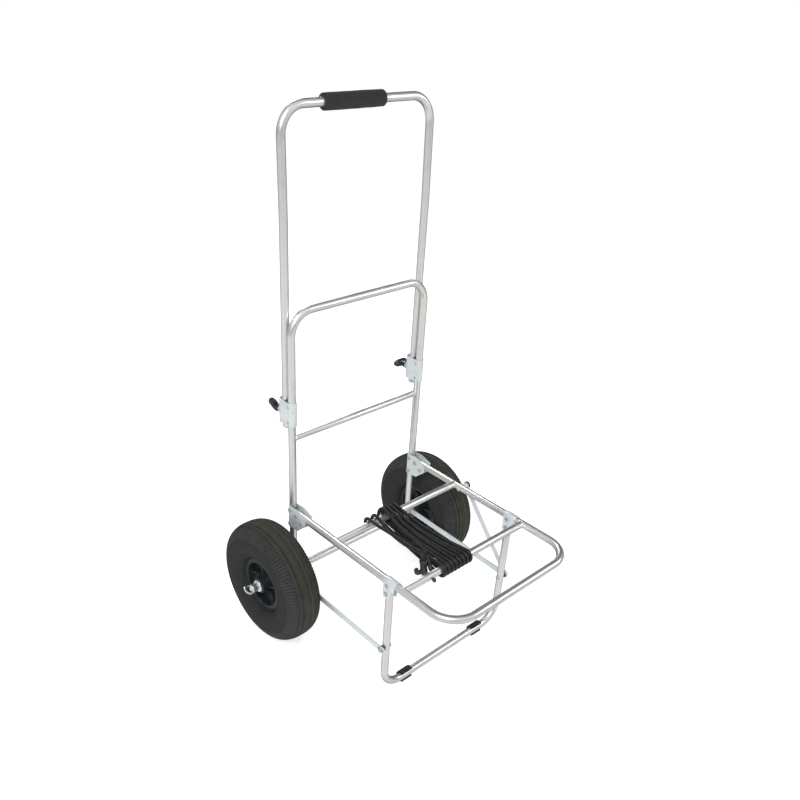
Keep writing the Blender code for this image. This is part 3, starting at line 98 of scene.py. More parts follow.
PLATFORM_HEIGHT = 0.279
PLATFORM_REAR = -0.0127
PLATFORM_FRONT = -0.446
PLATFORM_BEND = 0.055
REAR_BAR_Y = -0.133
FRONT_BAR_Y = -0.322
FOLD_Y = -0.020
STOP_Y = -0.0375
STOP_Z = 0.2682
HINGE_RIVET_HEIGHTS = (0.251, 0.283)
HINGE_OUTLINE = ((0.012, 0.292), (-0.022, 0.2955), (-0.051, 0.2875), (-0.049, 0.268),
                 (-0.027, 0.247), (0.012, 0.243))
HINGE_CORNER = 0.004
HINGE_MIDDLE = 0.27
HINGE_SPAN = 0.2
HINGE_LEG = 0.06
STAND_Y = -0.290
STAND_PIVOT_HEIGHT = 0.256
STAND_TOP = 0.263
STAND_BAR_Z = 0.0115
CLIP_TOP = PLATFORM_HEIGHT + PLATE_OUT + 0.004
CLIP_STEP = 0.268
CLIP_BOTTOM = 0.246
CLIP_REAR = -0.281
CLIP_FRONT = -0.309
CLIP_TAB_FRONT = -0.300
CLIP_CORNER = 0.003
CLIP_SPAN = 0.05
CLIP_LEG = 0.037
CLIP_RIVET_HEIGHT = PLATFORM_HEIGHT - 0.004
CLIP_OUTLINE = ((CLIP_REAR, CLIP_TOP), (CLIP_FRONT, CLIP_TOP), (CLIP_FRONT, CLIP_STEP),
                (CLIP_TAB_FRONT, CLIP_STEP), (CLIP_TAB_FRONT, CLIP_BOTTOM),
                (CLIP_REAR, CLIP_BOTTOM))
FOOT_X = {"left": -0.1065, "right": 0.1025}
FOOT_WALL = 0.0037
FOOT_LENGTH = 0.028
FOOT_SOLE = 0.012
FOOT_OPENING = math.radians(55)

HEAD_IN = 0.0097
RIVET_HEIGHT = 0.0014
RIVET_SHANK = 0.003
RIVET_BORE = RIVET_SHANK + CLEARANCE
RIVET_HEAD = 0.0045
PIVOT_HEAD = 0.0050
STRAP_FOOT_HEIGHT = 0.122
STRAP_HALF_WIDTH = 0.0065
STRAP_SLOT = 0.003
STRAP_SLOT_RADIUS = 0.0043
BOLT_RADIUS = 0.0025
BOLT_BORE = BOLT_RADIUS + CLEARANCE
BOLT_HEAD_RADIUS = 0.0064
BOLT_HEAD_LENGTH = 0.003
BOLT_NUT_RADIUS = 0.0045
SPACER_RADIUS = 0.0065
STAY_HALF_WIDTH = 0.006
STAY_HEAD_RADIUS = 0.0068
STAY_SEAT_RADIUS = 0.0038
STAY_MOUTH_ANGLES = (math.radians(-38), math.radians(-82))
STAY_MOUTH_SIDE = 0.014
STAY_MOUTH_REACH = 0.028
STUD_Y = -0.154
STUD_RADIUS = 0.0035
STUD_COLLAR_RADIUS = 0.0055
STUD_TAIL_RADIUS = 0.0045
STUD_END = 0.003
CAP_RADIUS = 0.008
CAP_HEIGHT = 0.006

WHEEL_RADIUS = 0.130
WHEEL_X = 0.223
AXLE_RADIUS = 0.005
AXLE_BORE = AXLE_RADIUS + CLEARANCE
AXLE_END = 0.275
AXLE_NUT_RADIUS = 0.0105
AXLE_NUT_LENGTH = 0.007
TYRE_HALF_WIDTH = 0.0405
TYRE_ROOT_RADIUS = 0.054
TYRE_FULLNESS = 2.6
TYRE_WRAP = math.radians(150)
BEAD_RADIUS = 0.0510
BEAD_HALF_WIDTH = 0.0237
TYRE_CAVITY = ((BEAD_RADIUS, 0.0172), (0.0585, 0.0215), (0.0700, 0.0300), (0.0920, 0.0345),
               (0.1150, 0.0300), (0.1240, 0.0150))
INNER_TUBE_MIDDLE = 0.092
INNER_TUBE_RISE = 0.0285
INNER_TUBE_SPREAD = 0.031
VALVE_BASE = 0.0307
VALVE_OFFSET = 0.014
VALVE_PROFILE = ((0, 0), (0.0024, 0), (0.0026, 0.0006), (0.0026, 0.0062), (0.0020, 0.0064),
                 (0.0020, 0.0078), (0.0030, 0.0086), (0.0030, 0.0400), (0, 0.0400))
HUB_RADIUS = 0.017
HUB_OUTER_REACH = 0.033
HUB_INNER_REACH = 0.0428
BUSH_RADIUS = 0.009
RIM_BORE = BUSH_RADIUS + CLEARANCE
RIM_SEAT = 0.0243
# From the hub's foot over the web and up the barrel to the flange: radius, distance from the middle
RIM_SECTION = ((HUB_RADIUS + 0.0006, 0.016), (HUB_RADIUS + 0.0030, 0.0062), (0.0235, 0.0042),
               (0.0400, 0.0040), (0.0440, 0.0056), (0.0466, 0.0100), (0.0474, 0.0235),
               (0.0482, 0.0262), (0.0500, 0.0270), (0.0524, 0.0264), (0.0575, 0.0252),
               (0.0575, RIM_SEAT), (0.0507, RIM_SEAT))
RIM_RIBS = 6
RIB_SIZE = (0.0325, 0.004, 0.038)
RIB_MIDDLE = 0.0320
WASHER_RADIUS = 0.0135
WASHER_THICKNESS = 0.0046
WASHER_FLAT = 0.0080
WASHER_EDGE = 0.0014
WING_HUB_RADIUS = 0.008
WING_HUB_LENGTH = 0.012
WING_WIRE = 0.0017
WING_ANGLE = math.radians(229)
# The wing nut's wire loop: outward in hub lengths, across the axle in hub radii
WING_ROUTE = ((0.33, -0.95), (0.92, -1.00), (1.50, -1.10), (1.93, -1.22), (2.12, -1.03),
              (2.10, -0.25), (1.88, 0.44), (1.50, 0.97), (1.00, 1.05), (0.33, 0.95))

# The cord: radius, then the same turns and runs as its solid
CORD_RADIUS = 0.0035
INNER_WRAP = 0.0118
LAYER = 0.0066
RUN_SAG = 0.0012
RUN_BOW = 0.009
TURNS = ((-0.0035, 0, 0.0005), (-0.0083, 1, -0.0095), (-0.0131, 0, -0.0195),
         (-0.0179, 1, -0.0295), (-0.0227, 0, -0.0395), (-0.0275, 1, -0.0495),
         (-0.0323, 0, -0.0595), (-0.0371, 1, -0.0695))
CROSSING_ROUTE = ((-0.0765, -0.2720, 0.0300), (-0.0695, -0.2520, 0.0205),
                  (-0.0655, -0.2350, 0.0085), (-0.0540, -0.2150, -0.0005),
                  (-0.0370, -0.1940, -0.0016), (-0.0195, -0.1730, -0.0006),
                  (-0.0080, -0.1545, 0.0058))
RETURN_ROUTE = ((-0.0702, -0.2900, 0.0112), (-0.0740, -0.2700, 0.0108), (-0.0775, -0.2400, 0.0106),
                (-0.0770, -0.2100, 0.0106), (-0.0725, -0.1800, 0.0108), (-0.0645, -0.1500, 0.0118),
                (-0.0600, -0.1330, 0.0126), (-0.0598, -0.1238, 0.0094), (-0.0600, -0.1203, 0.0010),
                (-0.0630, -0.1235, -0.0095), (-0.0695, -0.1270, -0.0125),
                (-0.0755, -0.1235, -0.0095), (-0.0780, -0.1203, 0.0010),
                (-0.0784, -0.1238, 0.0094), (-0.0785, -0.1330, 0.0126), (-0.0798, -0.1500, 0.0130),
                (-0.0818, -0.1700, 0.0155), (-0.0850, -0.2000, 0.0205), (-0.0880, -0.2300, 0.0245),
                (-0.0910, -0.2600, 0.0275), (-0.0935, -0.2820, 0.0335), (-0.0950, -0.2940, 0.0350))

# The cord's hooks: one grips the front crossbar, the free one hangs beside it
GRIP_LEAN = math.radians(34)
GRIP_CENTRE = Vector((-0.081, AXLE_Y + FRONT_BAR_Y, PLATFORM_HEIGHT))
GRIP_SPOKE = Vector((0, math.cos(GRIP_LEAN), -math.sin(GRIP_LEAN)))
GRIP_UP = Vector((0, math.sin(GRIP_LEAN), math.cos(GRIP_LEAN)))
GRIP_HOOK_RADIUS = 0.0117
GRIP_WIRE = 0.0032
GRIP_BARREL = 0.0045
GRIP_BARREL_LENGTH = 0.030
GRIP_SKEW = 0.018
GRIP_TURN = math.radians(150)
GRIP_STEPS = 24
FREE_LEAN = math.radians(8)
FREE_TOP = Vector((-0.0952, AXLE_Y - 0.300, PLATFORM_HEIGHT + 0.023))
FREE_UP = Vector((-math.sin(FREE_LEAN), 0, math.cos(FREE_LEAN)))
FREE_WIRE = 0.0042
FREE_BARREL = 0.0075
FREE_BARREL_LENGTH = 0.034
FREE_ROOT = 0.009
FREE_ARM = 0.0185
FREE_TIP = 0.015
FREE_BEND = 0.0085

# Detail that only the looks have
SHARP = math.radians(35)
BEVEL_ANGLE = math.radians(40)
ROUND_STEPS = 28
SHEET_ROUND = 0.0003
BAND_ROUND = 0.00035
BAR_ROUND = 0.0004
MOULDED_ROUND = 0.0007
NUT_ROUND = 0.00025
CUTTER_REACH = 0.02
CLAMP_BORE_DEPTH = 0.006
BOSS_SUNK = 0.0008
BOSS_FLARE = 0.0010
BOSS_FLARE_TOP = 0.0014
BOSS_FOOT = 0.0002
CROSSING_SPACING = 0.006
RETURN_SPACING = 0.004
WING_SPACING = 0.0008
BORE_DEPTH = 0.02
TUBE_LIP = 0.0004
DOME_SHARE = 0.72
WELD_RADIUS = 0.0009
WELD_STEPS = 72
WELD_RIPPLE = 0.00012
GRIP_ROUND = 0.0034
GRIP_WAIST = 0.0003
GRIP_ROWS = 52
SCREW_PITCH = 0.0010
AXLE_PITCH = 0.0012
AXLE_THREAD = 0.026
# A clenched rivet tail: shares of the head's radius and height
CLENCH = ((1.0, 0.0), (0.94, 0.7), (0.45, 1.0), (0.38, 0.6), (0.0, 0.5))
# The knob's bar: where its ends and waist begin, how deep they go, and how square its section is
KNOB_SHOULDER = 0.45
KNOB_END_DROP = 0.72
KNOB_END_CURVE = 0.05
KNOB_WAIST = 0.04
KNOB_WAIST_SPREAD = 0.16
KNOB_POWER = 3.2
# The tread: grooves by distance from the middle, depth and half width, then the cross cuts
TREAD_INSIDE = 0.1055
GROOVES = ((0.0052, 0.0022, 0.0018), (0.0145, 0.0022, 0.0018), (0.0238, 0.0020, 0.0015))
SIPE_EDGE = 0.0262
SIPE_DEPTH = 0.0018
SIPE_EVERY = 4
TYRE_STEPS = 448
TYRE_ROWS = 190
# Raised rings on the tyre's wall: radius, height and half width
RIDGES = ((0.0625, 0.0007, 0.0016), (0.0690, 0.0004, 0.0012), (0.0880, 0.0003, 0.0010))
RIDGE_LIMIT = 0.0008

# Where the tyre's looks change, by radius, and its light lines across the tread: worn rib edges
# with a painted highlight
SHOULDER_HIGHLIGHT_FADE = (0.1045, 0.1062)
TREAD_FADE = (0.1250, 0.1275)
RIB_REACH = 0.020
RIB_EDGE_WEAR_AND_HIGHLIGHT = ((0.30, 0.0), (0.325, 0.8), (0.345, 0.0), (0.575, 0.0), (0.595, 0.7), (0.615, 0.0),
             (0.655, 0.0), (0.680, 1.0), (0.705, 0.0))

# The studio: brightness by height, and round it from the -X side through -Y, +X and +Y
WORLD_HEIGHTS = ((0.0, 0.68), (0.16, 0.86), (0.30, 0.93), (0.43, 0.62), (0.49, 0.24), (0.54, 0.40),
                 (0.70, 0.84), (0.86, 0.72), (1.0, 0.80))
AZIMUTH_CARDS = ((0.00, 0.92), (0.08, 1.00), (0.16, 0.82), (0.28, 1.00), (0.42, 0.68),
                 (0.50, 0.28), (0.57, 0.12), (0.68, 0.12), (0.77, 0.28), (0.85, 0.74),
                 (0.92, 1.00), (1.00, 0.92))
FLOOR_REACH = 220.0
BACKDROP_RADIUS = 25.0
# Lamps: name, place, size, watts
LAMPS = (("key", (-1.7, -0.9, 2.4), 0.9, 34), ("fill", (1.7, -1.4, 1.5), 1.2, 10),
         ("back", (0.9, 2.3, 2.2), 1.0, 22))
LAMP_TARGET = Vector((0, 0, 0.35))


# Camera, as fitted to the photograph

view = bpy.data.cameras.new("camera")
view.lens = 36.336
view.sensor_width = 36
view.shift_x = 0.0126
view.shift_y = 0.0925
view.clip_end = 500
camera = bpy.data.objects.new("camera", view)
bpy.context.scene.collection.objects.link(camera)
camera.matrix_world = Matrix(((0.73433704, 0.32654864, -0.59507571, -0.96830),
                              (-0.67670222, 0.42081414, -0.60414366, -0.92375),
                              (0.05313398, 0.84633412, 0.52999560, 1.21480),
                              (0, 0, 0, 1)))
bpy.context.scene.camera = camera


# Materials

class Nodes:
    """Helpers that add nodes to one tree."""

    def __init__(self, tree):
        self.tree = tree
        self.coordinates = tree.nodes.new("ShaderNodeTexCoord").outputs

    def add(self, kind, inputs, output=0, **settings):
        """A new node's output. Each input is a value or another node's output."""
        node = self.tree.nodes.new("ShaderNode" + kind)
        for name, value in settings.items():
            setattr(node, name, value)
        for socket, value in inputs.items():
            if isinstance(value, bpy.types.NodeSocket):
                self.tree.links.new(value, node.inputs[socket])
            else:
                node.inputs[socket].default_value = value
        return node.outputs[output]

    def mapped(self, space="Object", scale=(1, 1, 1), turn=0.0):
        return self.add("Mapping", {"Vector": self.coordinates[space], "Scale": scale,
                                    "Rotation": (0, 0, turn)})

    def noise(self, vector, scale, detail=3.0, rough=0.55, distortion=0.0):
        return self.add("TexNoise", {"Vector": vector, "Scale": scale, "Detail": detail,
                                     "Roughness": rough, "Distortion": distortion})

    def cells(self, vector, scale):
        return self.add("TexVoronoi", {"Vector": vector, "Scale": scale})

    def wave(self, vector, scale):
        return self.add("TexWave", {"Vector": vector, "Scale": scale}, "Fac")

    def distance(self, shift, axes):
        """How far the surface stands from a line or plane, in metres."""
        moved = self.add("Mapping", {"Vector": self.coordinates["Object"], "Location": shift,
                                     "Scale": axes})
        return self.add("VectorMath", {0: moved}, "Value", operation="LENGTH")

    def math(self, operation, a, b):
        return self.add("Math", {0: a, 1: b}, operation=operation)

    def ranged(self, value, low, high, start=0.3, end=0.7):
        return self.add("MapRange", {"Value": value, "From Min": start, "From Max": end,
                                     "To Min": low, "To Max": high})

    def colours(self, value, stops, interpolation="LINEAR"):
        """A ramp of colours, or of greys where a stop has a single number."""
        output = self.add("ValToRGB", {"Fac": value})
        ramp = output.node.color_ramp
        ramp.interpolation = interpolation
        while len(ramp.elements) < len(stops):
            ramp.elements.new(0.5)
        for element, (place, colour) in zip(ramp.elements, stops):
            element.position = place
            element.color = (*(colour if isinstance(colour, tuple) else (colour,) * 3), 1)
        return output

    def mixed(self, factor, a, b, **settings):
        colours = {6: a, 7: b}
        for socket, value in colours.items():
            if isinstance(value, tuple):
                colours[socket] = (*value, 1)
        return self.add("Mix", {0: factor, **colours}, 2, data_type="RGBA", **settings)

    def bump(self, height, strength, distance, below=None):
        inputs = {"Height": height, "Strength": strength, "Distance": distance}
        if below is not None:
            inputs["Normal"] = below
        return self.add("Bump", inputs)


class Look(Nodes):
    """One material: its Principled shader, with even values or textures on its sockets."""

    def __init__(self, name, colour, roughness, metallic=0.0, **sockets):
        self.material = bpy.data.materials.new(name)
        self.material.use_nodes = True
        super().__init__(self.material.node_tree)
        self.shader = self.tree.nodes["Principled BSDF"]
        self.set(Base_Color=(*colour, 1), Roughness=roughness, Metallic=metallic, **sockets)

    def set(self, **sockets):
        for name, value in sockets.items():
            socket = self.shader.inputs[name.replace("_", " ")]
            if isinstance(value, bpy.types.NodeSocket):
                self.tree.links.new(value, socket)
            else:
                socket.default_value = value

    def finished(self, tint, wear, rough, bumps, grain=None, jitter=None):
        """Colour, roughness that follows the wear and the grain, and bumps from broad to fine."""
        level = self.ranged(wear, *rough)
        if grain is not None:
            level = self.math("ADD", level, self.ranged(grain, *jitter))
        normal = None
        for height, strength, distance in bumps:
            normal = self.bump(height, strength, distance, normal)
        self.set(Base_Color=tint, Roughness=level, Normal=normal)
        return self.material


def aluminium_look():
    look = Look("satin_aluminium", (0.84, 0.835, 0.815), 0.28, 0.92)
    draw = look.noise(look.mapped("UV", (1.0, 0.03, 1.0)), 2600.0, 4.0, 0.7)
    smear = look.noise(look.mapped(), 26.0, 5.0, 0.6, 0.4)
    tint = look.colours(smear, ((0.30, (0.79, 0.785, 0.765)), (0.55, (0.845, 0.84, 0.82)),
                                (0.80, (0.88, 0.88, 0.865))))
    slanted = look.mapped("UV", (0.25, 1.0, 1.0), 0.35)
    scratch = look.ranged(look.noise(slanted, 900.0, 2.0, 0.8), 1.0, 0.0, 0.68, 0.74)
    return look.finished(look.mixed(scratch, (0.70, 0.70, 0.685), tint), smear, (0.27, 0.36),
                         [(smear, 0.05, 0.0003), (draw, 0.06, 0.00004)], draw, (-0.03, 0.04))


def zinc_look():
    look = Look("zinc_plated", (0.74, 0.785, 0.805), 0.42, 0.36)
    bloom = look.noise(look.mapped(), 70.0, 5.0, 0.6, 0.6)
    grain = look.noise(look.mapped("Object", (1.0, 0.25, 1.0)), 900.0, 3.0)
    tint = look.colours(bloom, ((0.25, (0.61, 0.66, 0.68)), (0.50, (0.67, 0.72, 0.74)),
                                (0.75, (0.73, 0.78, 0.80))))
    spot = look.ranged(look.noise(look.mapped(), 150.0, 3.0, 0.7), 1.0, 0.0, 0.66, 0.74)
    return look.finished(look.mixed(spot, (0.56, 0.60, 0.62), tint), bloom, (0.32, 0.50),
                         [(bloom, 0.22, 0.0004), (grain, 0.18, 0.00007)], grain, (-0.03, 0.05))


def painted_shade_fastener_look():
    """Duller, darker plating for the rivets, bolts and pins: the darker colour is painted shade on
    their heads.
    """
    look = Look("painted_shade_plating", (0.46, 0.49, 0.50), 0.40, 0.60)
    bloom = look.noise(look.mapped(), 240.0, 5.0, 0.6, 0.5)
    grain = look.noise(look.mapped(), 1200.0, 3.0)
    tint = look.colours(bloom, ((0.25, (0.30, 0.33, 0.34)), (0.50, (0.46, 0.50, 0.51)),
                                (0.80, (0.62, 0.65, 0.66))))
    return look.finished(tint, bloom, (0.30, 0.52), [(bloom, 0.2, 0.0002), (grain, 0.2, 0.00006)])


def chrome_look():
    look = Look("chrome", (0.86, 0.87, 0.89), 0.12, 0.85)
    haze = look.noise(look.mapped(), 120.0, 4.0)
    tint = look.colours(haze, ((0.3, (0.78, 0.80, 0.83)), (0.7, (0.90, 0.91, 0.92))))
    return look.finished(tint, haze, (0.08, 0.24), [(haze, 0.10, 0.0003)])


def tyre_look():
    """Dusty, worn rubber on the tread, its rib edges lighter with wear and a painted highlight, a
    shoulder painted lighter and bluish as a highlight, and smoother, darker rubber down the walls.
    """
    look = Look("tyre_rubber", (0.020, 0.021, 0.021), 0.70, Specular_IOR_Level=0.28)
    dust = look.noise(look.mapped(), 34.0, 6.0, 0.65, 0.3)
    fine = look.noise(look.mapped(), 800.0, 3.0, 0.6)
    wall = look.colours(dust, ((0.30, (0.010, 0.0115, 0.0115)), (0.55, (0.016, 0.0175, 0.017)),
                               (0.80, (0.027, 0.028, 0.026))))
    worn = look.colours(dust, ((0.30, (0.017, 0.018, 0.014)), (0.55, (0.038, 0.038, 0.029)),
                               (0.80, (0.074, 0.070, 0.055))))
    # Lighter lines along the rib edges: wear there, and a painted highlight
    spread = look.ranged(look.distance((0, 0, 0), (1, 0, 0)), 0.0, 1.0,
                         WHEEL_X - RIB_REACH, WHEEL_X + RIB_REACH)
    worn = look.mixed(look.colours(spread, RIB_EDGE_WEAR_AND_HIGHLIGHT), worn, (0.100, 0.095, 0.074))
    away = look.distance((0, -AXLE_Y, -AXLE_Z), (0, 1, 1))
    # The shoulder is painted lighter and bluish than the wall: a painted highlight
    shoulder = look.colours(dust, ((0.30, (0.022, 0.025, 0.026)), (0.70, (0.048, 0.051, 0.051))))
    side = look.mixed(look.ranged(away, 0.0, 1.0, *SHOULDER_HIGHLIGHT_FADE), wall, shoulder)
    tone = look.mixed(look.ranged(away, 0.0, 1.0, *TREAD_FADE), side, worn)
    tint = look.mixed(look.ranged(fine, 0.0, 0.30), tone, (0.040, 0.040, 0.035))
    return look.finished(tint, dust, (0.58, 0.80), [(dust, 0.2, 0.0006), (fine, 0.35, 0.0002)],
                         fine, (-0.05, 0.05))


def rubber_look():
    look = Look("black_rubber", (0.015, 0.015, 0.016), 0.55, Specular_IOR_Level=0.35)
    wear = look.noise(look.mapped(), 160.0, 5.0, 0.65)
    grain = look.noise(look.mapped(), 1400.0, 3.0)
    tint = look.colours(wear, ((0.3, (0.009, 0.009, 0.010)), (0.75, (0.030, 0.029, 0.027))))
    return look.finished(tint, wear, (0.46, 0.72), [(grain, 0.3, 0.00012)])


def foam_look():
    look = Look("foam", (0.020, 0.021, 0.021), 0.92, Specular_IOR_Level=0.15, Sheen_Weight=0.05,
                Sheen_Roughness=0.5)
    cells = look.cells(look.mapped(), 1300.0)
    wear = look.noise(look.mapped(), 60.0, 5.0, 0.6)
    tint = look.colours(wear, ((0.3, (0.010, 0.011, 0.011)), (0.7, (0.023, 0.024, 0.024))))
    tint = look.mixed(look.ranged(cells, 0.0, 0.6, 0.1, 0.6), tint, (0.036, 0.037, 0.037))
    return look.finished(tint, wear, (0.84, 0.98), [(wear, 0.2, 0.001), (cells, 0.55, 0.0004)])


def elastic_look():
    """A woven sheath: two sets of slanting strands crossing, round the cord and along it, with
    painted shade in the gaps between the strands.
    """
    look = Look("elastic", (0.008, 0.008, 0.009), 0.6, Sheen_Weight=0.06, Sheen_Roughness=0.4,
                Specular_IOR_Level=0.45)
    strands = [look.wave(look.mapped("UV", turn=math.radians(turn)), 190.0) for turn in (38, -38)]
    weave = look.math("MAXIMUM", *strands)
    fuzz = look.noise(look.mapped(), 2200.0, 3.0)
    worn = look.noise(look.mapped(), 45.0, 4.0)
    # Darker between the strands: painted shade in the weave's gaps, with patches of wear
    gap_shade_and_wear = look.math("MULTIPLY", weave, look.ranged(worn, 0.55, 1.0))
    tint = look.colours(gap_shade_and_wear, ((0.25, (0.002, 0.002, 0.0025)), (0.70, (0.008, 0.0085, 0.009)),
                                (1.0, (0.022, 0.023, 0.023))))
    return look.finished(tint, worn, (0.31, 0.45), [(fuzz, 0.3, 0.00008), (weave, 0.5, 0.00035)],
                         fuzz, (-0.04, 0.06))


def gloss_look():
    look = Look("gloss_black", (0.012, 0.014, 0.018), 0.16, Coat_Weight=0.35, Coat_Roughness=0.08)
    marks = look.noise(look.mapped(), 110.0, 5.0, 0.6)
    grain = look.noise(look.mapped(), 900.0, 2.0)
    tint = look.colours(marks, ((0.3, (0.009, 0.011, 0.015)), (0.75, (0.022, 0.025, 0.031))))
    return look.finished(tint, marks, (0.12, 0.30), [(grain, 0.12, 0.00012)])


def rim_look():
    look = Look("rim_plastic", (0.014, 0.018, 0.022), 0.42, Specular_IOR_Level=0.40)
    flow = look.noise(look.mapped(), 48.0, 5.0, 0.6, 0.4)
    grain = look.noise(look.mapped(), 1500.0, 3.0)
    tint = look.colours(flow, ((0.3, (0.011, 0.015, 0.018)), (0.6, (0.020, 0.025, 0.029)),
                               (0.85, (0.045, 0.049, 0.052))))
    return look.finished(tint, flow, (0.32, 0.54), [(flow, 0.15, 0.0006), (grain, 0.25, 0.0001)],
                         grain, (-0.04, 0.05))


LOOKS = {"satin_aluminium": aluminium_look(), "zinc_plated": zinc_look(), "chrome": chrome_look(),
         "tyre_rubber": tyre_look(), "black_rubber": rubber_look(), "foam": foam_look(),
         "elastic": elastic_look(), "gloss_black": gloss_look(), "rim_plastic": rim_look()}
FASTENERS = ("rivet", "pivot", "stop", "bolt")
# Rivets, bolts and pins take a darker plating: painted shade on their heads
PAINTED_SHADE_PLATING = painted_shade_fastener_look()


# Mesh helpers

def linked(name, data):
    obj = bpy.data.objects.new(name, data)
    bpy.context.scene.collection.objects.link(obj)
    return obj


def shaded(mesh):
    mesh.shade_smooth()
    mesh.set_sharp_from_angle(angle=SHARP)


def tidied(form, mesh):
    """Weld, turn the normals outwards, write back and shade."""
    bmesh.ops.remove_doubles(form, verts=form.verts, dist=1e-6)
    bmesh.ops.dissolve_degenerate(form, edges=form.edges, dist=1e-6)
    bmesh.ops.recalc_face_normals(form, faces=form.faces)
    form.to_mesh(mesh)
    form.free()
    shaded(mesh)


def tidied_mesh(mesh):
    form = bmesh.new()
    form.from_mesh(mesh)
    tidied(form, mesh)


def solid(name, form):
    """An object from a bmesh."""
    mesh = bpy.data.meshes.new(name)
    tidied(form, mesh)
    return linked(name, mesh)


def skin(name, rings, girth, heights, closed=False):
    """A mesh over rings of points, with a UV map in metres: girth round, heights along."""
    count = len(rings[0])
    points = [point for ring in rings for point in ring]
    faces = []
    uvs = []
    rows = len(rings) if closed else len(rings) - 1
    for i in range(rows):
        k = (i + 1) % len(rings)
        low = heights[i]
        high = heights[i + 1] if i + 1 < len(heights) else heights[i]
        for j in range(count):
            n = (j + 1) % count
            faces.append((i * count + j, i * count + n, k * count + n, k * count + j))
            left = girth * j / count
            right = girth * (j + 1) / count
            uvs += [left, low, right, low, right, high, left, high]
    mesh = bpy.data.meshes.new(name)
    mesh.from_pydata(points, [], faces)
    layer = mesh.uv_layers.new(name="UVMap")
    layer.uv.foreach_set("vector", uvs)
    tidied_mesh(mesh)
    return linked(name, mesh)


def eased(points, radius, steps=3, closed=False):
    """A flat outline with its corners rounded as far as its edges allow."""
    edge_share = 0.42
    shortest = 1e-7
    flattest = math.radians(88)
    points = [Vector(point) for point in points]
    count = len(points)
    made = []
    for k in range(count):
        if not closed and k in (0, count - 1):
            made.append(tuple(points[k]))
            continue
        before, corner, after = points[k - 1], points[k], points[(k + 1) % count]
        back = before - corner
        ahead = after - corner
        room = edge_share * min(back.length, ahead.length)
        if room < shortest:
            continue
        back.normalize()
        ahead.normalize()
        half = back.angle(ahead) / 2
        if half > flattest:
            made.append(tuple(corner))
            continue
        reach = min(radius / math.tan(half), room)
        a = corner + back * reach
        b = corner + ahead * reach
        for n in range(steps + 1):
            t = n / steps
            made.append(tuple((1 - t) ** 2 * a + 2 * t * (1 - t) * corner + t * t * b))
    return made


def path_heights(profile):
    """The way travelled at each point of a closed profile, and once round."""
    heights = [0.0]
    for (r0, h0), (r1, h1) in zip(profile, profile[1:] + profile[:1]):
        heights.append(heights[-1] + math.hypot(r1 - r0, h1 - h0))
    return heights


def lathe(name, profile, matrix, steps=48, closed=False, ease=0.0):
    """A turned piece: radius and height pairs spun about local Z, put in place by the matrix."""
    if ease:
        profile = eased(profile, ease, closed=closed)
    rings = []
    for radius, height in profile:
        ring = []
        for k in range(steps):
            turn = 2 * math.pi * k / steps
            ring.append(matrix @ Vector((radius * math.cos(turn), radius * math.sin(turn), height)))
        rings.append(ring)
    girth = 2 * math.pi * max(radius for radius, _ in profile)
    return skin(name, rings, girth, path_heights(profile), closed)


def sleeve(name, bore, radius, high, low, matrix, steps, ease):
    section = [(bore, high), (radius, high), (radius, low), (bore, low)]
    return lathe(name, section, matrix, steps, True, ease)


def thread(radius, depth, pitch, high, low):
    """The zigzag of a screw thread in a turned profile, from high down to low."""
    zigzag = []
    while high > low:
        zigzag += [(radius, high), (radius - depth, high - pitch / 2)]
        high -= pitch
    return zigzag


def outward(side, x, y, z):
    """Local Z points away from the middle plane."""
    turn = Matrix.Rotation(side * math.pi / 2, 4, "Y")
    return Matrix.Translation((side * x, y + AXLE_Y, z)) @ turn


def rearward(place):
    """Local Z points back, along +Y."""
    return Matrix.Translation(place) @ Matrix.Rotation(-math.pi / 2, 4, "X")


def rounded_path(corners, radii, steps=14):
    corners = [Vector(corner) for corner in corners]
    path = [corners[0]]
    for before, corner, after, radius in zip(corners, corners[1:], corners[2:], radii):
        back = (before - corner).normalized()
        ahead = (after - corner).normalized()
        half = back.angle(ahead) / 2
        centre = corner + (back + ahead).normalized() * (radius / math.sin(half))
        spoke = corner + back * (radius / math.tan(half)) - centre
        turn = math.pi - 2 * half
        axis = ahead.cross(back)
        count = max(3, round(steps * turn / (math.pi / 2)))
        path += [centre + Quaternion(axis, turn * k / count) @ spoke for k in range(count + 1)]
    return path + [corners[-1]]


def frames(path, closed=False):
    """A tangent and a square side vector at each point of a path, without twist."""
    count = len(path)
    tangents = []
    for k in range(count):
        if closed:
            step = path[(k + 1) % count] - path[k - 1]
        else:
            step = path[min(k + 1, count - 1)] - path[max(k - 1, 0)]
        tangents.append(step.normalized())
    sideways = tangents[0].orthogonal().normalized()
    made = []
    last = tangents[0]
    for tangent in tangents:
        sideways = last.rotation_difference(tangent) @ sideways
        sideways = (sideways - tangent * sideways.dot(tangent)).normalized()
        made.append((tangent, sideways))
        last = tangent
    return made


def moved(station, offset, size):
    """A pipe's station pushed along its tangent, with another radius."""
    place, tangent, sideways, _, along = station
    return place + tangent * offset, tangent, sideways, size, along + offset


def shell(name, stations, radius, sides, closed=False):
    """A skin round stations: place, tangent, side vector, radius and way travelled."""
    rings = []
    for place, tangent, sideways, size, _ in stations:
        up = tangent.cross(sideways)
        turns = [2 * math.pi * k / sides for k in range(sides)]
        rings.append([place + (sideways * math.cos(turn) + up * math.sin(turn)) * size
                      for turn in turns])
    return skin(name, rings, 2 * math.pi * radius, [station[-1] for station in stations], closed)


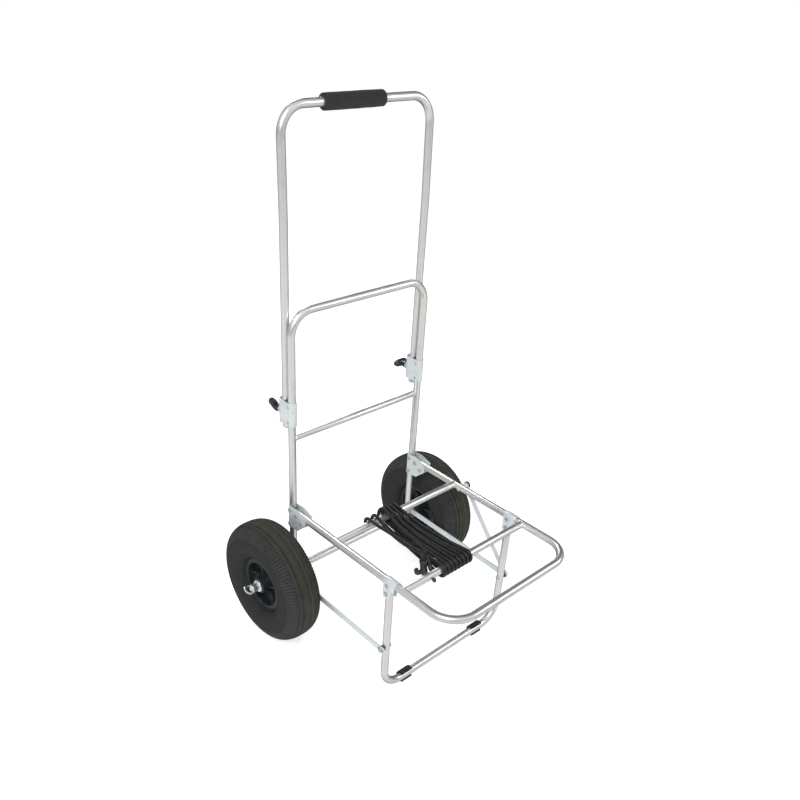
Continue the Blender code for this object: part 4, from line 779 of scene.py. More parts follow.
def pipe(name, path, radius, wall=0.0, sides=32, closed=False, lip=TUBE_LIP, dome=0.0):
    """A round bar or hollow tube along a path, its ends eased by the lip or drawn in to a dome."""
    path = [Vector(point) for point in path]
    travelled = [0.0]
    for a, b in zip(path, path[1:]):
        travelled.append(travelled[-1] + (b - a).length)
    stations = [(place, tangent, sideways, radius, along)
                for place, (tangent, sideways), along in zip(path, frames(path, closed), travelled)]
    if closed:
        return shell(name, stations, radius, sides, True)
    depth = radius * DOME_SHARE if dome else lip
    steps = 6 if dome else 2
    turns = [math.pi / 2 * k / steps for k in range(steps + 1)]
    start, end = ([moved(station, sign * (dome or lip) * (1 - math.cos(turn)),
                         radius - depth * (1 - math.sin(turn))) for turn in turns]
                  for station, sign in ((stations[0], 1), (stations[-1], -1)))
    stations = [*start, *stations[1:-1], *reversed(end)]
    first, last = stations[0], stations[-1]
    if not wall:
        capped = [moved(first, 0.0, 0.0), *stations, moved(last, 0.0, 0.0)]
        return shell(name, capped, radius, sides)
    made = shell(name, stations, radius, sides)
    mouth = radius * (1 - DOME_SHARE) - 0.0002 if dome else radius - wall
    for station, inward in ((last, -1), (first, 1)):
        # The bore shows only as far in as light reaches, so each end has its own bore and floor
        floor = moved(station, inward * BORE_DEPTH, radius - wall)
        bore = [station, moved(station, 0.0, mouth), floor, moved(floor, 0.0, 0.0)]
        made = joined(made, shell("bore", bore, radius, sides))
    return made


def swapped(mesh, objects):
    """The mesh as one object, in place of others and under the first one's name."""
    name = objects[0].name
    for obj in objects:
        bpy.data.objects.remove(obj, do_unlink=True)
    return linked(name, mesh)


def joined(*objects):
    """One object from several; their shells may pass through each other where metal is joined."""
    form = bmesh.new()
    for obj in objects:
        mesh = obj.data.copy()
        mesh.transform(obj.matrix_world)
        form.from_mesh(mesh)
        bpy.data.meshes.remove(mesh)
    if not form.loops.layers.uv:
        form.loops.layers.uv.new("UVMap")
    mesh = bpy.data.meshes.new(objects[0].name)
    form.to_mesh(mesh)
    form.free()
    shaded(mesh)
    return swapped(mesh, objects)


def evaluated(obj):
    """The object with its modifiers applied."""
    bpy.context.view_layer.update()
    graph = bpy.context.evaluated_depsgraph_get()
    mesh = bpy.data.meshes.new_from_object(obj.evaluated_get(graph))
    mesh.transform(obj.matrix_world)
    return swapped(mesh, [obj])


def plate(name, points, thickness, matrix, holes=()):
    """A flat plate from an outline with holes, centred on the matrix's XY plane."""
    curve = bpy.data.curves.new(name, "CURVE")
    curve.dimensions = "2D"
    curve.fill_mode = "BOTH"
    curve.extrude = thickness / 2
    for ring in (points, *holes):
        spline = curve.splines.new("POLY")
        spline.points.add(len(ring) - 1)
        spline.use_cyclic_u = True
        for point, place in zip(spline.points, ring):
            point.co = (place[0], place[1], 0, 1)
    obj = linked(name, curve)
    obj.matrix_world = matrix
    obj = evaluated(obj)
    tidied_mesh(obj.data)
    return obj


def boolean(obj, operation, other):
    step = obj.modifiers.new("cut", "BOOLEAN")
    step.operation = operation
    step.solver = "EXACT"
    step.object = other
    made = evaluated(obj)
    bpy.data.objects.remove(other, do_unlink=True)
    return made


def softened(obj, width, segments=2):
    """Small rounds along the hard edges."""
    step = obj.modifiers.new("edge", "BEVEL")
    step.width = width
    step.segments = segments
    step.limit_method = "ANGLE"
    step.angle_limit = BEVEL_ANGLE
    step.use_clamp_overlap = True
    made = evaluated(obj)
    tidied_mesh(made.data)
    return made


def rod_cutter(*rods, sides=40):
    form = bmesh.new()
    for start, end, radius in rods:
        start = Vector(start)
        end = Vector(end)
        turn = Vector((0, 0, 1)).rotation_difference(end - start).to_matrix().to_4x4()
        bmesh.ops.create_cone(form, cap_ends=True, segments=sides, radius1=radius, radius2=radius,
                              depth=(end - start).length,
                              matrix=Matrix.Translation((start + end) / 2) @ turn)
    mesh = bpy.data.meshes.new("rods")
    form.to_mesh(mesh)
    form.free()
    return linked("rods", mesh)


def block(size, cuts):
    """A box divided into small squares, to be shaped point by point."""
    form = bmesh.new()
    bmesh.ops.create_cube(form, size=1, matrix=Matrix.Diagonal((*size, 1)))
    bmesh.ops.subdivide_edges(form, edges=form.edges[:], cuts=cuts, use_grid_fill=True)
    return form


def arc(centre, radius, start, end, steps):
    angles = [start + (end - start) * k / steps for k in range(steps + 1)]
    return [(centre[0] + radius * math.cos(a), centre[1] + radius * math.sin(a)) for a in angles]


def circle(radius, steps=40):
    return arc((0, 0), radius, 0, 2 * math.pi * (1 - 1 / steps), steps - 1)


def capsule(length, radius, steps=20):
    far = arc((length, 0), radius, -math.pi / 2, math.pi / 2, steps)
    return far + arc((0, 0), radius, math.pi / 2, 3 * math.pi / 2, steps)


def side_view(x, y=0.0, z=0.0, tilt=0.0):
    """An outline's own axes become y and z, and its thickness lies along x."""
    basis = Matrix(((0, 0, 1, 0), (1, 0, 0, 0), (0, 1, 0, 0), (0, 0, 0, 1)))
    return Matrix.Translation((x, y, z)) @ Matrix.Rotation(tilt, 4, "X") @ basis


def put(obj, body, *nodes):
    """The finished piece takes its nodes' place, body, slot and material."""
    obj.name = nodes[0] + "_look"
    obj.data.materials.clear()
    slot = SLOTS[nodes[0]]
    # Fasteners take the darker plating, painted shade on their heads
    takes_painted_shade = any(word in nodes[0] for word in FASTENERS)
    obj.data.materials.append(PAINTED_SHADE_PLATING if takes_painted_shade else LOOKS[slot])
    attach(obj, body)
    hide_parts(*nodes)
    return obj


# Elastic cord and its hooks

def smooth_route(points, spacing):
    knots = [Vector(point) for point in points]
    ends = [knots[0] * 2 - knots[1], *knots, knots[-1] * 2 - knots[-2]]
    path = [knots[0]]
    for a, b, c, d in zip(ends, ends[1:], ends[2:], ends[3:]):
        steps = max(1, round((c - b).length / spacing))
        for k in range(1, steps + 1):
            t = k / steps
            path.append(0.5 * (2 * b + (c - a) * t + (2 * a - 5 * b + 4 * c - d) * t ** 2
                               + (3 * b - a - 3 * c + d) * t ** 3))
    return path


def wrap(y, x, radius, front, steps=14):
    """Half a turn round a crossbar: down its back for the rear bar, up its front for the other."""
    start = -math.pi / 2 if front else math.pi / 2
    points = []
    for k in range(steps + 1):
        angle = start - math.pi * k / steps
        points.append(Vector((x, AXLE_Y + y + radius * math.cos(angle),
                              PLATFORM_HEIGHT + radius * math.sin(angle))))
    return points


def run(start, end, bow=0.0, steps=14):
    """A stretch from bar to bar that sags a little, and bows aside where it crosses."""
    points = []
    for k in range(1, steps):
        swell = math.sin(math.pi * k / steps)
        points.append(start.lerp(end, k / steps) - Vector((bow * swell, 0, RUN_SAG * swell)))
    return points


def windings():
    path = []
    for rear_x, layer, front_x in TURNS:
        rear = wrap(REAR_BAR_Y, rear_x, INNER_WRAP + LAYER * layer, False)
        front = wrap(FRONT_BAR_Y, front_x, INNER_WRAP, True)
        if path:
            path += run(path[-1], rear[0], RUN_BOW)
        path += rear + run(rear[-1], front[0]) + front
    return path


def on_platform(route):
    return [Vector((x, y + AXLE_Y, PLATFORM_HEIGHT + z)) for x, y, z in route]


def cord_points():
    """The whole cord: from the gripping hook, across, round the bars and back to the free hook."""
    lift = GRIP_BARREL + GRIP_BARREL_LENGTH + CLEARANCE
    start = GRIP_CENTRE + GRIP_SPOKE * GRIP_HOOK_RADIUS + GRIP_UP * lift
    end = FREE_TOP + FREE_UP * CLEARANCE
    straight = 2 * CORD_RADIUS
    turns = windings()
    crossing = smooth_route([start, start + GRIP_UP * straight, *on_platform(CROSSING_ROUTE),
                             turns[0]], CROSSING_SPACING)
    returning = smooth_route([turns[-1], *on_platform(RETURN_ROUTE), end + FREE_UP * straight,
                              end], RETURN_SPACING)
    return crossing[:-1] + turns + returning[1:]


def barrel(base, up, length, radius):
    """A moulded socket: collared at the cord's end, waisted, with a chamfered foot."""
    collar = radius * 0.28
    waist = radius * 0.90
    profile = [(0, length), (radius * 0.80, length), (radius, length - collar),
               (radius, length - 3 * collar), (waist, length - 3.6 * collar),
               (waist, length * 0.30), (radius, length * 0.22), (radius, collar),
               (radius * 0.85, 0), (0, 0)]
    turn = Vector((0, 0, 1)).rotation_difference(up).to_matrix().to_4x4()
    return lathe("barrel", profile, Matrix.Translation(base) @ turn, 40, ease=0.0006)


def gripping_hook():
    foot = GRIP_CENTRE + GRIP_SPOKE * GRIP_HOOK_RADIUS
    base = foot + GRIP_UP * GRIP_BARREL
    wire = [base + GRIP_UP * GRIP_WIRE, foot]
    axis = Vector((1, 0, 0))
    for k in range(1, GRIP_STEPS + 1):
        part = k / GRIP_STEPS
        spoke = Quaternion(axis, -GRIP_TURN * part) @ GRIP_SPOKE * GRIP_HOOK_RADIUS
        wire.append(GRIP_CENTRE + spoke - axis * GRIP_SKEW * part)
    hook = joined(pipe("gripping", wire, GRIP_WIRE, sides=24, lip=0.0016),
                  barrel(base, GRIP_UP, GRIP_BARREL_LENGTH, GRIP_BARREL))
    return put(hook, "platform", "cord_hook_gripping")


def free_hook():
    base = FREE_TOP - FREE_UP * FREE_BARREL_LENGTH
    root = base + FREE_UP * FREE_ROOT
    corner = root + Vector((-FREE_UP.z, 0, FREE_UP.x)) * FREE_ARM
    arm = rounded_path((root, corner, corner + FREE_UP * FREE_TIP), (FREE_BEND,))
    hook = joined(pipe("free", arm, FREE_WIRE, sides=24, lip=0.0020),
                  barrel(base, FREE_UP, FREE_BARREL_LENGTH, FREE_BARREL))
    return put(hook, "platform", "cord_hook_free")


def elastic():
    path = cord_points()
    cord = put(pipe("elastic_cord", path, CORD_RADIUS, sides=16, lip=0.0008), "platform",
               "elastic_cord")
    hooks = [gripping_hook(), free_hook()]


elastic()


# Tubes

def bent(node, body, half, bends, dome=0.0):
    """A tube from half its corners, which is mirrored to the other side."""
    corners = [*half, *((-x, y, z) for x, y, z in reversed(half))]
    path = rounded_path(corners, (*bends, *reversed(bends)))
    put(pipe(node, path, TUBE_RADIUS, TUBE_WALL, dome=dome), body, node)


def tubes():
    bent("main_frame_tube", "frame",
         ((-LEG_X, AXLE_Y, FRAME_BOTTOM), (-LEG_X, AXLE_Y, FRAME_TOP)), (BEND_RADIUS,))
    back = AXLE_Y + HANDLE_BACK
    bent("handle_tube", "handle",
         ((-LEG_X, back, HANDLE_BOTTOM), (-LEG_X, back, HANDLE_LEAN_START),
          (-LEG_X, back + HANDLE_LEAN, HANDLE_TOP)), (HANDLE_LEAN_BEND, BEND_RADIUS), HANDLE_DOME)
    bent("platform_tube", "platform",
         ((-LEG_X, AXLE_Y + PLATFORM_REAR, PLATFORM_HEIGHT),
          (-LEG_X, AXLE_Y + PLATFORM_FRONT, PLATFORM_HEIGHT)), (PLATFORM_BEND,))
    bent("stand_tube", "stand",
         ((-LEG_X, AXLE_Y + STAND_Y, STAND_TOP), (-LEG_X, AXLE_Y + STAND_Y, STAND_BAR_Z)),
         (BEND_RADIUS,))
    welded("frame_crossbar", "frame", 0.0, CROSSBAR_HEIGHT, CROSSBAR_RADIUS, upright=True)
    welded("rear_crossbar", "platform", REAR_BAR_Y, PLATFORM_HEIGHT, TUBE_RADIUS)
    welded("front_crossbar", "platform", FRONT_BAR_Y, PLATFORM_HEIGHT, TUBE_RADIUS)


def welded(node, body, y, z, radius, upright=False):
    """A crossbar with a small weld fillet where each end meets the side tube's round."""
    y += AXLE_Y
    bar = pipe(node, [(-LEG_X, y, z), (0, y, z), (LEG_X, y, z)], radius)
    beads = []
    round_bar = radius * 1.02
    widest = 0.985 * TUBE_RADIUS
    for side, word in SIDES:
        ring = []
        for k in range(WELD_STEPS):
            turn = 2 * math.pi * k / WELD_STEPS
            u = round_bar * math.cos(turn)
            v = round_bar * math.sin(turn)
            off = min(abs(u if upright else v), widest)
            reach = math.sqrt(TUBE_RADIUS ** 2 - off ** 2)
            ripple = WELD_RIPPLE * math.sin(turn * 24)
            ring.append(Vector((side * (LEG_X - reach * 1.005 - ripple), y + u, z + v)))
        beads.append(pipe("bead", ring, WELD_RADIUS, sides=10, closed=True))
    put(joined(bar, *beads), body, node)


tubes()


# Handle's grip

def grip():
    axis = Vector((0, HANDLE_BACK + HANDLE_LEAN, HANDLE_TOP))
    end = GRIP_LENGTH / 2
    bore = TUBE_RADIUS + 0.0002
    shoulder = GRIP_RADIUS - GRIP_ROUND
    straight = end - GRIP_ROUND
    lead = [(bore, end - 0.0012), (bore + 0.001, end), (shoulder, end)]
    lead += [(shoulder + GRIP_ROUND * math.sin(a), straight + GRIP_ROUND * math.cos(a))
             for a in (math.radians(22), math.radians(45), math.radians(68))]
    parts = [1 - 2 * k / GRIP_ROWS for k in range(GRIP_ROWS + 1)]
    body = [(GRIP_RADIUS - GRIP_WAIST * part * part, part * straight) for part in parts]
    profile = lead + body + [(radius, -place) for radius, place in reversed(lead)]
    obj = lathe("grip", profile, outward(1, GRIP_CENTRE_X, axis.y, axis.z), 72, closed=True)
    for vertex in obj.data.vertices:
        spoke = Vector((0, vertex.co.y - axis.y - AXLE_Y, vertex.co.z - axis.z))
        if spoke.length > TUBE_RADIUS + 0.002:
            # Slow swells and small dents, pressed in rather than out
            swell = noise.noise(vertex.co * 60) * 0.00025 + noise.noise(vertex.co * 210) * 0.00012
            vertex.co += spoke.normalized() * (swell - 0.0002)
    put(obj, "handle", "foam_grip")


grip()


# Clamps and knobs

def domed(radius, seat, height, steps=7):
    """A rivet head's profile: a low dome on a short edge."""
    edge = 0.28
    profile = [(0.0, seat + height)]
    for k in range(1, steps + 1):
        turn = math.pi / 2 * k / steps
        profile.append((radius * math.sin(turn),
                        seat + height * (edge + (1 - edge) * math.cos(turn))))
    return profile + [(radius, seat), (0.0, seat)]


def clamp(side, word):
    centre = side * LEG_X
    back = AXLE_Y + CLAMP_BACK + PLATE_OUT
    outer, inner = (arc((0, CLAMP_BACK), radius, 0, math.pi, ROUND_STEPS)
                    + arc((0, 0), radius, math.pi, 2 * math.pi, ROUND_STEPS)
                    for radius in (PLATE_OUT, PLATE_IN))
    middle = Matrix.Translation((centre, AXLE_Y, (CLAMP_TOP + CLAMP_BOTTOM) / 2))
    band = plate("band", outer, CLAMP_TOP - CLAMP_BOTTOM, middle, (inner,))
    # The lower corner at the back is cut off slantwise
    over = CLAMP_CORNER
    corner = ((back - CLAMP_CORNER - over, CLAMP_BOTTOM - over), (back + over, CLAMP_BOTTOM - over),
              (back + over, CLAMP_BOTTOM + CLAMP_CORNER + over))
    corner = plate("corner", corner, 2 * CUTTER_REACH, side_view(centre))
    band = boolean(band, "DIFFERENCE", corner)
    bore = rod_cutter(((centre, back - CLAMP_BORE_DEPTH, KNOB_HEIGHT),
                       (centre, back + CUTTER_REACH, KNOB_HEIGHT), SCREW_BORE))
    band = softened(boolean(band, "DIFFERENCE", bore), BAND_ROUND)
    top = BOSS_LENGTH + BOSS_SUNK
    boss = [(SCREW_BORE, top), (BOSS_RADIUS, top), (BOSS_RADIUS, BOSS_FLARE_TOP),
            (BOSS_RADIUS + BOSS_FLARE, BOSS_FOOT), (SCREW_BORE, BOSS_FOOT)]
    seat = rearward((centre, back - BOSS_SUNK, KNOB_HEIGHT))
    parts = [band, lathe("boss", boss, seat, 40, True, 0.0005)]
    head = domed(CLAMP_HEAD_RADIUS, PLATE_OUT - 0.0006, CLAMP_HEAD_HEIGHT)
    for height in CLAMP_RIVET_HEIGHTS:
        for end in (-1, 1):
            place = Matrix.Translation((centre, AXLE_Y, height))
            place = place @ Matrix.Rotation(end * math.pi / 2, 4, "Y")
            parts.append(lathe("head", head, place, 28))
    made = put(joined(*parts), "frame", "clamp_bracket_" + word)
    # The rivet heads on the band take the darker plating, painted shade
    made.data.materials.append(PAINTED_SHADE_PLATING)
    for face in made.data.polygons:
        if abs(face.center.x - centre) > PLATE_OUT + 0.0001:
            face.material_index = 1


def knob_bar():
    """A bar along x with rounded ends, a round section and a shallow waist each side of the hub."""
    form = block((KNOB_SPAN, KNOB_THICKNESS, KNOB_THICKNESS), 9)
    for vertex in form.verts:
        x, y, z = vertex.co
        part = abs(x) / (KNOB_SPAN / 2)
        beyond = max(0.0, (part - KNOB_SHOULDER) / (1 - KNOB_SHOULDER))
        end = math.sqrt(max(0.0, 1 - beyond ** 2 * KNOB_END_DROP))
        waist = 1 - KNOB_WAIST * math.exp(-((part - KNOB_SHOULDER) / KNOB_WAIST_SPREAD) ** 2)
        u, v = y / (KNOB_THICKNESS / 2), z / (KNOB_THICKNESS / 2)
        size = max(abs(u), abs(v))
        power = 1.0
        if size > 1e-6:
            power = sum(abs(w / size) ** KNOB_POWER for w in (u, v)) ** (1 / KNOB_POWER)
        k = end * waist / power
        vertex.co = Vector((x * (1 - KNOB_END_CURVE * (u * u + v * v) / 2 * part), y * k, z * k))
    return solid("bar", form)


def knob(side, word):
    centre = side * LEG_X
    screw = (centre, AXLE_Y + HANDLE_BACK + TUBE_RADIUS + CLEARANCE, KNOB_HEIGHT)
    profile = [(0, SCREW_LENGTH), (SCREW_RADIUS, SCREW_LENGTH),
               *thread(SCREW_RADIUS, 0.00045, SCREW_PITCH, SCREW_LENGTH - 0.0005, 0.0012),
               (SCREW_RADIUS - 0.0004, 0.0008), (SCREW_RADIUS - 0.0010, 0), (0, 0)]
    put(lathe("screw", profile, rearward(screw), 24), "knob_" + word, "knob_screw_" + word)
    start = AXLE_Y + KNOB_START
    length = KNOB_HUB_LENGTH + KNOB_BURIAL
    bar = knob_bar()
    bar.matrix_world = (Matrix.Translation((centre, start + length, KNOB_HEIGHT))
                        @ Matrix.Rotation(KNOB_ANGLES[word], 4, "Y"))
    waist = KNOB_HUB_RADIUS * 0.86
    hub = [(SCREW_BORE, 0), (KNOB_HUB_RADIUS - 0.0006, 0), (KNOB_HUB_RADIUS, 0.0008),
           (waist, length * 0.45), (waist, length * 0.6), (KNOB_HUB_RADIUS * 0.78, length)]
    hub = lathe("hub", hub, rearward((centre, start, KNOB_HEIGHT)), 40, ease=0.0012)
    put(joined(bar, hub), "knob_" + word, "clamp_knob_" + word)


# Hinge brackets, clips, rivets, straps and stay

def folded_sheet(node, body, side, outline, corner, fold, depth, leg, holes):
    """Sheet folded round a tube: cheeks cut to the outline, kept where the fold has metal."""
    outline = eased([(y + AXLE_Y, z) for y, z in outline], corner, 5, True)
    cheeks = plate("cheeks", outline, 4 * TUBE_RADIUS, side_view(side * LEG_X))
    section = arc((0, 0), PLATE_OUT, 0, math.pi, 32) + [(-PLATE_OUT, -leg), (-PLATE_IN, -leg)]
    section += arc((0, 0), PLATE_IN, math.pi, 0, 32) + [(PLATE_IN, -leg), (PLATE_OUT, -leg)]
    sheet = boolean(cheeks, "INTERSECT", plate("fold", section, depth, fold))
    left, right = side * LEG_X - CUTTER_REACH, side * LEG_X + CUTTER_REACH
    rods = [((left, AXLE_Y + y, z), (right, AXLE_Y + y, z), RIVET_BORE) for y, z in holes]
    sheet = boolean(sheet, "DIFFERENCE", rod_cutter(*rods))
    put(softened(sheet, SHEET_ROUND), body, node)


def hinge(side, word):
    holes = [(0, height) for height in HINGE_RIVET_HEIGHTS]
    holes += [(FOLD_Y, PLATFORM_HEIGHT), (STOP_Y, STOP_Z)]
    fold = Matrix.Translation((side * LEG_X, AXLE_Y, HINGE_MIDDLE))
    folded_sheet("hinge_bracket_" + word, "frame", side, HINGE_OUTLINE, HINGE_CORNER, fold,
                 HINGE_SPAN, HINGE_LEG, holes)


def clip(side, word):
    middle = (side * LEG_X, AXLE_Y + (CLIP_REAR + CLIP_FRONT) / 2, PLATFORM_HEIGHT)
    fold = Matrix.Translation(middle) @ Matrix.Rotation(math.pi / 2, 4, "X")
    holes = [(STAND_Y, STAND_PIVOT_HEIGHT), (STAND_Y, CLIP_RIVET_HEIGHT)]
    folded_sheet("stand_clip_" + word, "platform", side, CLIP_OUTLINE, CLIP_CORNER, fold,
                 CLIP_SPAN, CLIP_LEG, holes)


def rivet(node, body, side, y, z, head=RIVET_HEAD):
    """A round shank with a domed head outside and a flat clenched one inside."""
    dome = domed(head, HEAD_IN - 0.0001, RIVET_HEIGHT)[:-1]
    tail = [(RIVET_SHANK, HEAD_IN), (RIVET_SHANK, -HEAD_IN)]
    tail += [(head * wide, -HEAD_IN - RIVET_HEIGHT * high) for wide, high in CLENCH]
    put(lathe("rivet", dome + tail, outward(side, LEG_X, y, z), 32), body, node)


def hexagon(radius, low, high, matrix, crown):
    """A six-sided head whose corners are turned off; crown is how far, and on which side."""
    form = bmesh.new()
    rings = []
    edge = abs(crown)
    levels = [(low, radius), (high - edge, radius), (high, radius - edge * 1.4)]
    if crown < 0:
        levels = [(low, radius - edge * 1.4), (low + edge, radius), (high, radius)]
    for height, size in levels:
        turns = [math.pi / 3 * k for k in range(6)]
        rings.append([form.verts.new(matrix @ Vector((size * math.cos(turn), size * math.sin(turn),
                                                      height))) for turn in turns])
    for a, b in zip(rings, rings[1:]):
        for k in range(6):
            form.faces.new((a[k], a[(k + 1) % 6], b[(k + 1) % 6], b[k]))
    form.faces.new(rings[0])
    form.faces.new(rings[-1])
    return softened(solid("hexagon", form), NUT_ROUND)


def fasteners(side, word):
    for height, place in zip(HINGE_RIVET_HEIGHTS, ("lower", "upper")):
        rivet(f"hinge_rivet_{place}_{word}", "frame", side, 0, height)
    rivet("fold_pivot_" + word, "frame", side, FOLD_Y, PLATFORM_HEIGHT, PIVOT_HEAD)
    rivet("fold_stop_" + word, "frame", side, STOP_Y, STOP_Z)
    rivet("clip_rivet_" + word, "platform", side, STAND_Y, CLIP_RIVET_HEIGHT)
    rivet("stand_pivot_" + word, "stand", side, STAND_Y, STAND_PIVOT_HEIGHT)
    low = (STAY_OUT if side > 0 else STRAP_OUT) + CLEARANCE
    nut = TUBE_RADIUS + CLEARANCE
    matrix = outward(side, LEG_X, STAND_Y, STRAP_FOOT_HEIGHT)
    shank = [(0, low), (BOLT_RADIUS, low), (BOLT_RADIUS, -nut - 0.001), (0, -nut - 0.001)]
    bolt = [lathe("shank", shank, matrix, 24),
            hexagon(BOLT_HEAD_RADIUS, low, low + BOLT_HEAD_LENGTH, matrix, 0.0006),
            hexagon(BOLT_NUT_RADIUS, -nut - 0.003, -nut, matrix, -0.0004)]
    put(joined(*bolt), "stand", "brace_bolt_" + word)
    high = STRAP_IN - CLEARANCE
    put(sleeve("spacer", BOLT_BORE, SPACER_RADIUS, high, nut, matrix, 40, 0.0005), "stand",
        "brace_spacer_" + word)
    axle_end = outward(side, LEG_X, 0, AXLE_Z)
    put(sleeve("spacer", AXLE_BORE, SPACER_RADIUS, high, nut, axle_end, 40, 0.0003), "frame",
        "axle_spacer_" + word)


def strap(side, word):
    reach = Vector((STAND_Y, STRAP_FOOT_HEIGHT - AXLE_Z))
    turn = math.atan2(reach.y, reach.x)
    slot = [(reach.length - STRAP_SLOT / 2 + x, y)
            for x, y in capsule(STRAP_SLOT, STRAP_SLOT_RADIUS)]
    matrix = side_view(side * (LEG_X + (STRAP_IN + STRAP_OUT) / 2), AXLE_Y, AXLE_Z, turn)
    obj = plate("strap", capsule(reach.length + STRAP_SLOT, STRAP_HALF_WIDTH, 28),
                STRAP_OUT - STRAP_IN, matrix, (circle(AXLE_BORE), slot))
    put(softened(obj, BAR_ROUND, 3), "brace_" + word, "brace_" + word)


def stay():
    """The hooked bar: a flat bar with a round head whose mouth opens on to the stud."""
    x = LEG_X + (STAY_IN + STAY_OUT) / 2
    half = (STAY_OUT - STAY_IN) / 2
    reach = Vector((STUD_Y - STAND_Y, PLATFORM_HEIGHT - STRAP_FOOT_HEIGHT))
    turn = math.atan2(reach.y, reach.x)
    obj = plate("stay", capsule(reach.length, STAY_HALF_WIDTH, 28), 2 * half,
                side_view(x, AXLE_Y + STAND_Y, STRAP_FOOT_HEIGHT, turn), (circle(BOLT_BORE),))
    stud = Vector((AXLE_Y + STUD_Y, PLATFORM_HEIGHT))
    head = rod_cutter(((x - half, *stud), (x + half, *stud), STAY_HEAD_RADIUS), sides=64)
    obj = boolean(obj, "UNION", head)
    seat = rod_cutter(((x - 0.004, *stud), (x + 0.004, *stud), STAY_SEAT_RADIUS), sides=48)
    obj = boolean(obj, "DIFFERENCE", seat)
    upper, lower = (Vector((math.cos(a), math.sin(a))) for a in STAY_MOUTH_ANGLES)
    upper_wall = stud + Vector((-upper.y, upper.x)) * STAY_SEAT_RADIUS
    lower_wall = stud + Vector((lower.y, -lower.x)) * STAY_SEAT_RADIUS
    mouth = [upper_wall, upper_wall + upper * STAY_MOUTH_SIDE,
             stud + (upper + lower).normalized() * STAY_MOUTH_REACH,
             lower_wall + lower * STAY_MOUTH_SIDE, lower_wall]
    mouth = plate("mouth", [tuple(point) for point in mouth], 0.008, side_view(x))
    put(softened(boolean(obj, "DIFFERENCE", mouth), BAR_ROUND, 3), "lock_bar", "lock_bar")


def stud():
    matrix = outward(1, LEG_X, STUD_Y, PLATFORM_HEIGHT)
    seat = STAY_OUT + CLEARANCE
    end = seat + STUD_END
    tube = TUBE_RADIUS + CLEARANCE
    profile = [(0, end), (STUD_RADIUS, end), (STUD_RADIUS, STRAP_OUT),
               (STUD_COLLAR_RADIUS, STRAP_OUT), (STUD_COLLAR_RADIUS, tube), (STUD_RADIUS, tube),
               (STUD_RADIUS, -tube), (STUD_TAIL_RADIUS, -tube),
               (STUD_TAIL_RADIUS - 0.0003, -tube - 0.0010), (0.002, -tube - 0.0014),
               (0, -tube - 0.0014)]
    put(lathe("stud", profile, matrix, 32, ease=0.0003), "platform", "lock_stud")
    bore = STUD_RADIUS + CLEARANCE
    top = seat + CAP_HEIGHT
    cap = [(0, top), (0.0045, top), (CAP_RADIUS - 0.0008, top - 0.0008), (CAP_RADIUS, top - 0.0024),
           (CAP_RADIUS, seat), (bore, seat), (bore, end + CLEARANCE), (0, end + CLEARANCE)]
    put(lathe("cap", cap, matrix, 48, ease=0.0008), "platform", "lock_stud_cap")


def foot(word):
    bore = TUBE_RADIUS + CLEARANCE
    wall = bore + FOOT_WALL
    lip = math.pi - FOOT_OPENING
    ring = arc((0, 0), bore, lip, -lip, 48)
    ring += [(-FOOT_SOLE / 2, -wall), (FOOT_SOLE / 2, -wall)]
    ring += arc((0, 0), wall, -math.radians(45), lip, 40)
    place = side_view(FOOT_X[word], AXLE_Y + STAND_Y, STAND_BAR_Z)
    obj = softened(plate("foot", ring, FOOT_LENGTH, place), MOULDED_ROUND, 3)
    put(obj, "stand", "foot_" + word)


stay()
stud()
for side, word in SIDES:
    clamp(side, word)
    knob(side, word)
    hinge(side, word)
    clip(side, word)
    fasteners(side, word)
    strap(side, word)
    foot(word)


# Axle

def axle():
    inner = LEG_X - PLATE_IN
    matrix = outward(1, 0, 0, AXLE_Z)
    weld = 0.0004
    tube = [(TUBE_RADIUS, inner + 0.003), (TUBE_RADIUS, -inner - 0.003)]
    parts = [lathe("axle", tube, matrix, 40),
             hexagon(AXLE_NUT_RADIUS, inner - AXLE_NUT_LENGTH, inner + weld, matrix, -0.0010),
             hexagon(AXLE_NUT_RADIUS, -inner - weld, AXLE_NUT_LENGTH - inner, matrix, 0.0010)]
    put(joined(*parts), "frame", "axle_tube")
    profile = [(0, AXLE_END), (0.0042, AXLE_END), (AXLE_RADIUS, AXLE_END - 0.0008),
               *thread(AXLE_RADIUS, 0.0006, AXLE_PITCH, AXLE_END - AXLE_PITCH,
                       AXLE_END - AXLE_THREAD)]
    profile.append((AXLE_RADIUS, profile[-1][1] - AXLE_PITCH / 2))
    profile += [(radius, -height) for radius, height in reversed(profile)]
    put(lathe("rod", profile, matrix, 32), "frame", "axle_rod")


axle()


# Wheels

def tyre_section():
    """The tyre's outside from bead to bead: place, outward normal and depth of the cross cut."""
    middle = (WHEEL_RADIUS + TYRE_ROOT_RADIUS) / 2
    half_height = (WHEEL_RADIUS - TYRE_ROOT_RADIUS) / 2
    rows = []
    for k in range(TYRE_ROWS + 1):
        angle = TYRE_WRAP - 2 * TYRE_WRAP * k / TYRE_ROWS
        rise, spread = (math.copysign(abs(part) ** (2 / TYRE_FULLNESS), part)
                        for part in (math.cos(angle), math.sin(angle)))
        rows.append(Vector((middle + half_height * rise, TYRE_HALF_WIDTH * spread)))
    section = []
    for k, point in enumerate(rows):
        step = rows[min(k + 1, TYRE_ROWS)] - rows[max(k - 1, 0)]
        normal = Vector((-step.y, step.x)).normalized()
        if normal.dot(point - Vector((middle, 0))) < 0:
            normal = -normal
        radius, width = point
        tread = radius > TREAD_INSIDE
        depth = 0.0
        if tread:
            for place, deep, half in GROOVES:
                off = abs(abs(width) - place) / half
                depth = max(depth, deep * (1 - off ** 4) if off < 1 else 0.0)
        else:
            for place, high, half in RIDGES:
                off = abs(radius - place) / half
                if off < 1:
                    depth -= high * (1 - off * off)
        cut = SIPE_DEPTH if tread and abs(width) > SIPE_EDGE else 0.0
        section.append((point - normal * max(depth, -RIDGE_LIMIT), normal, cut))
    return section


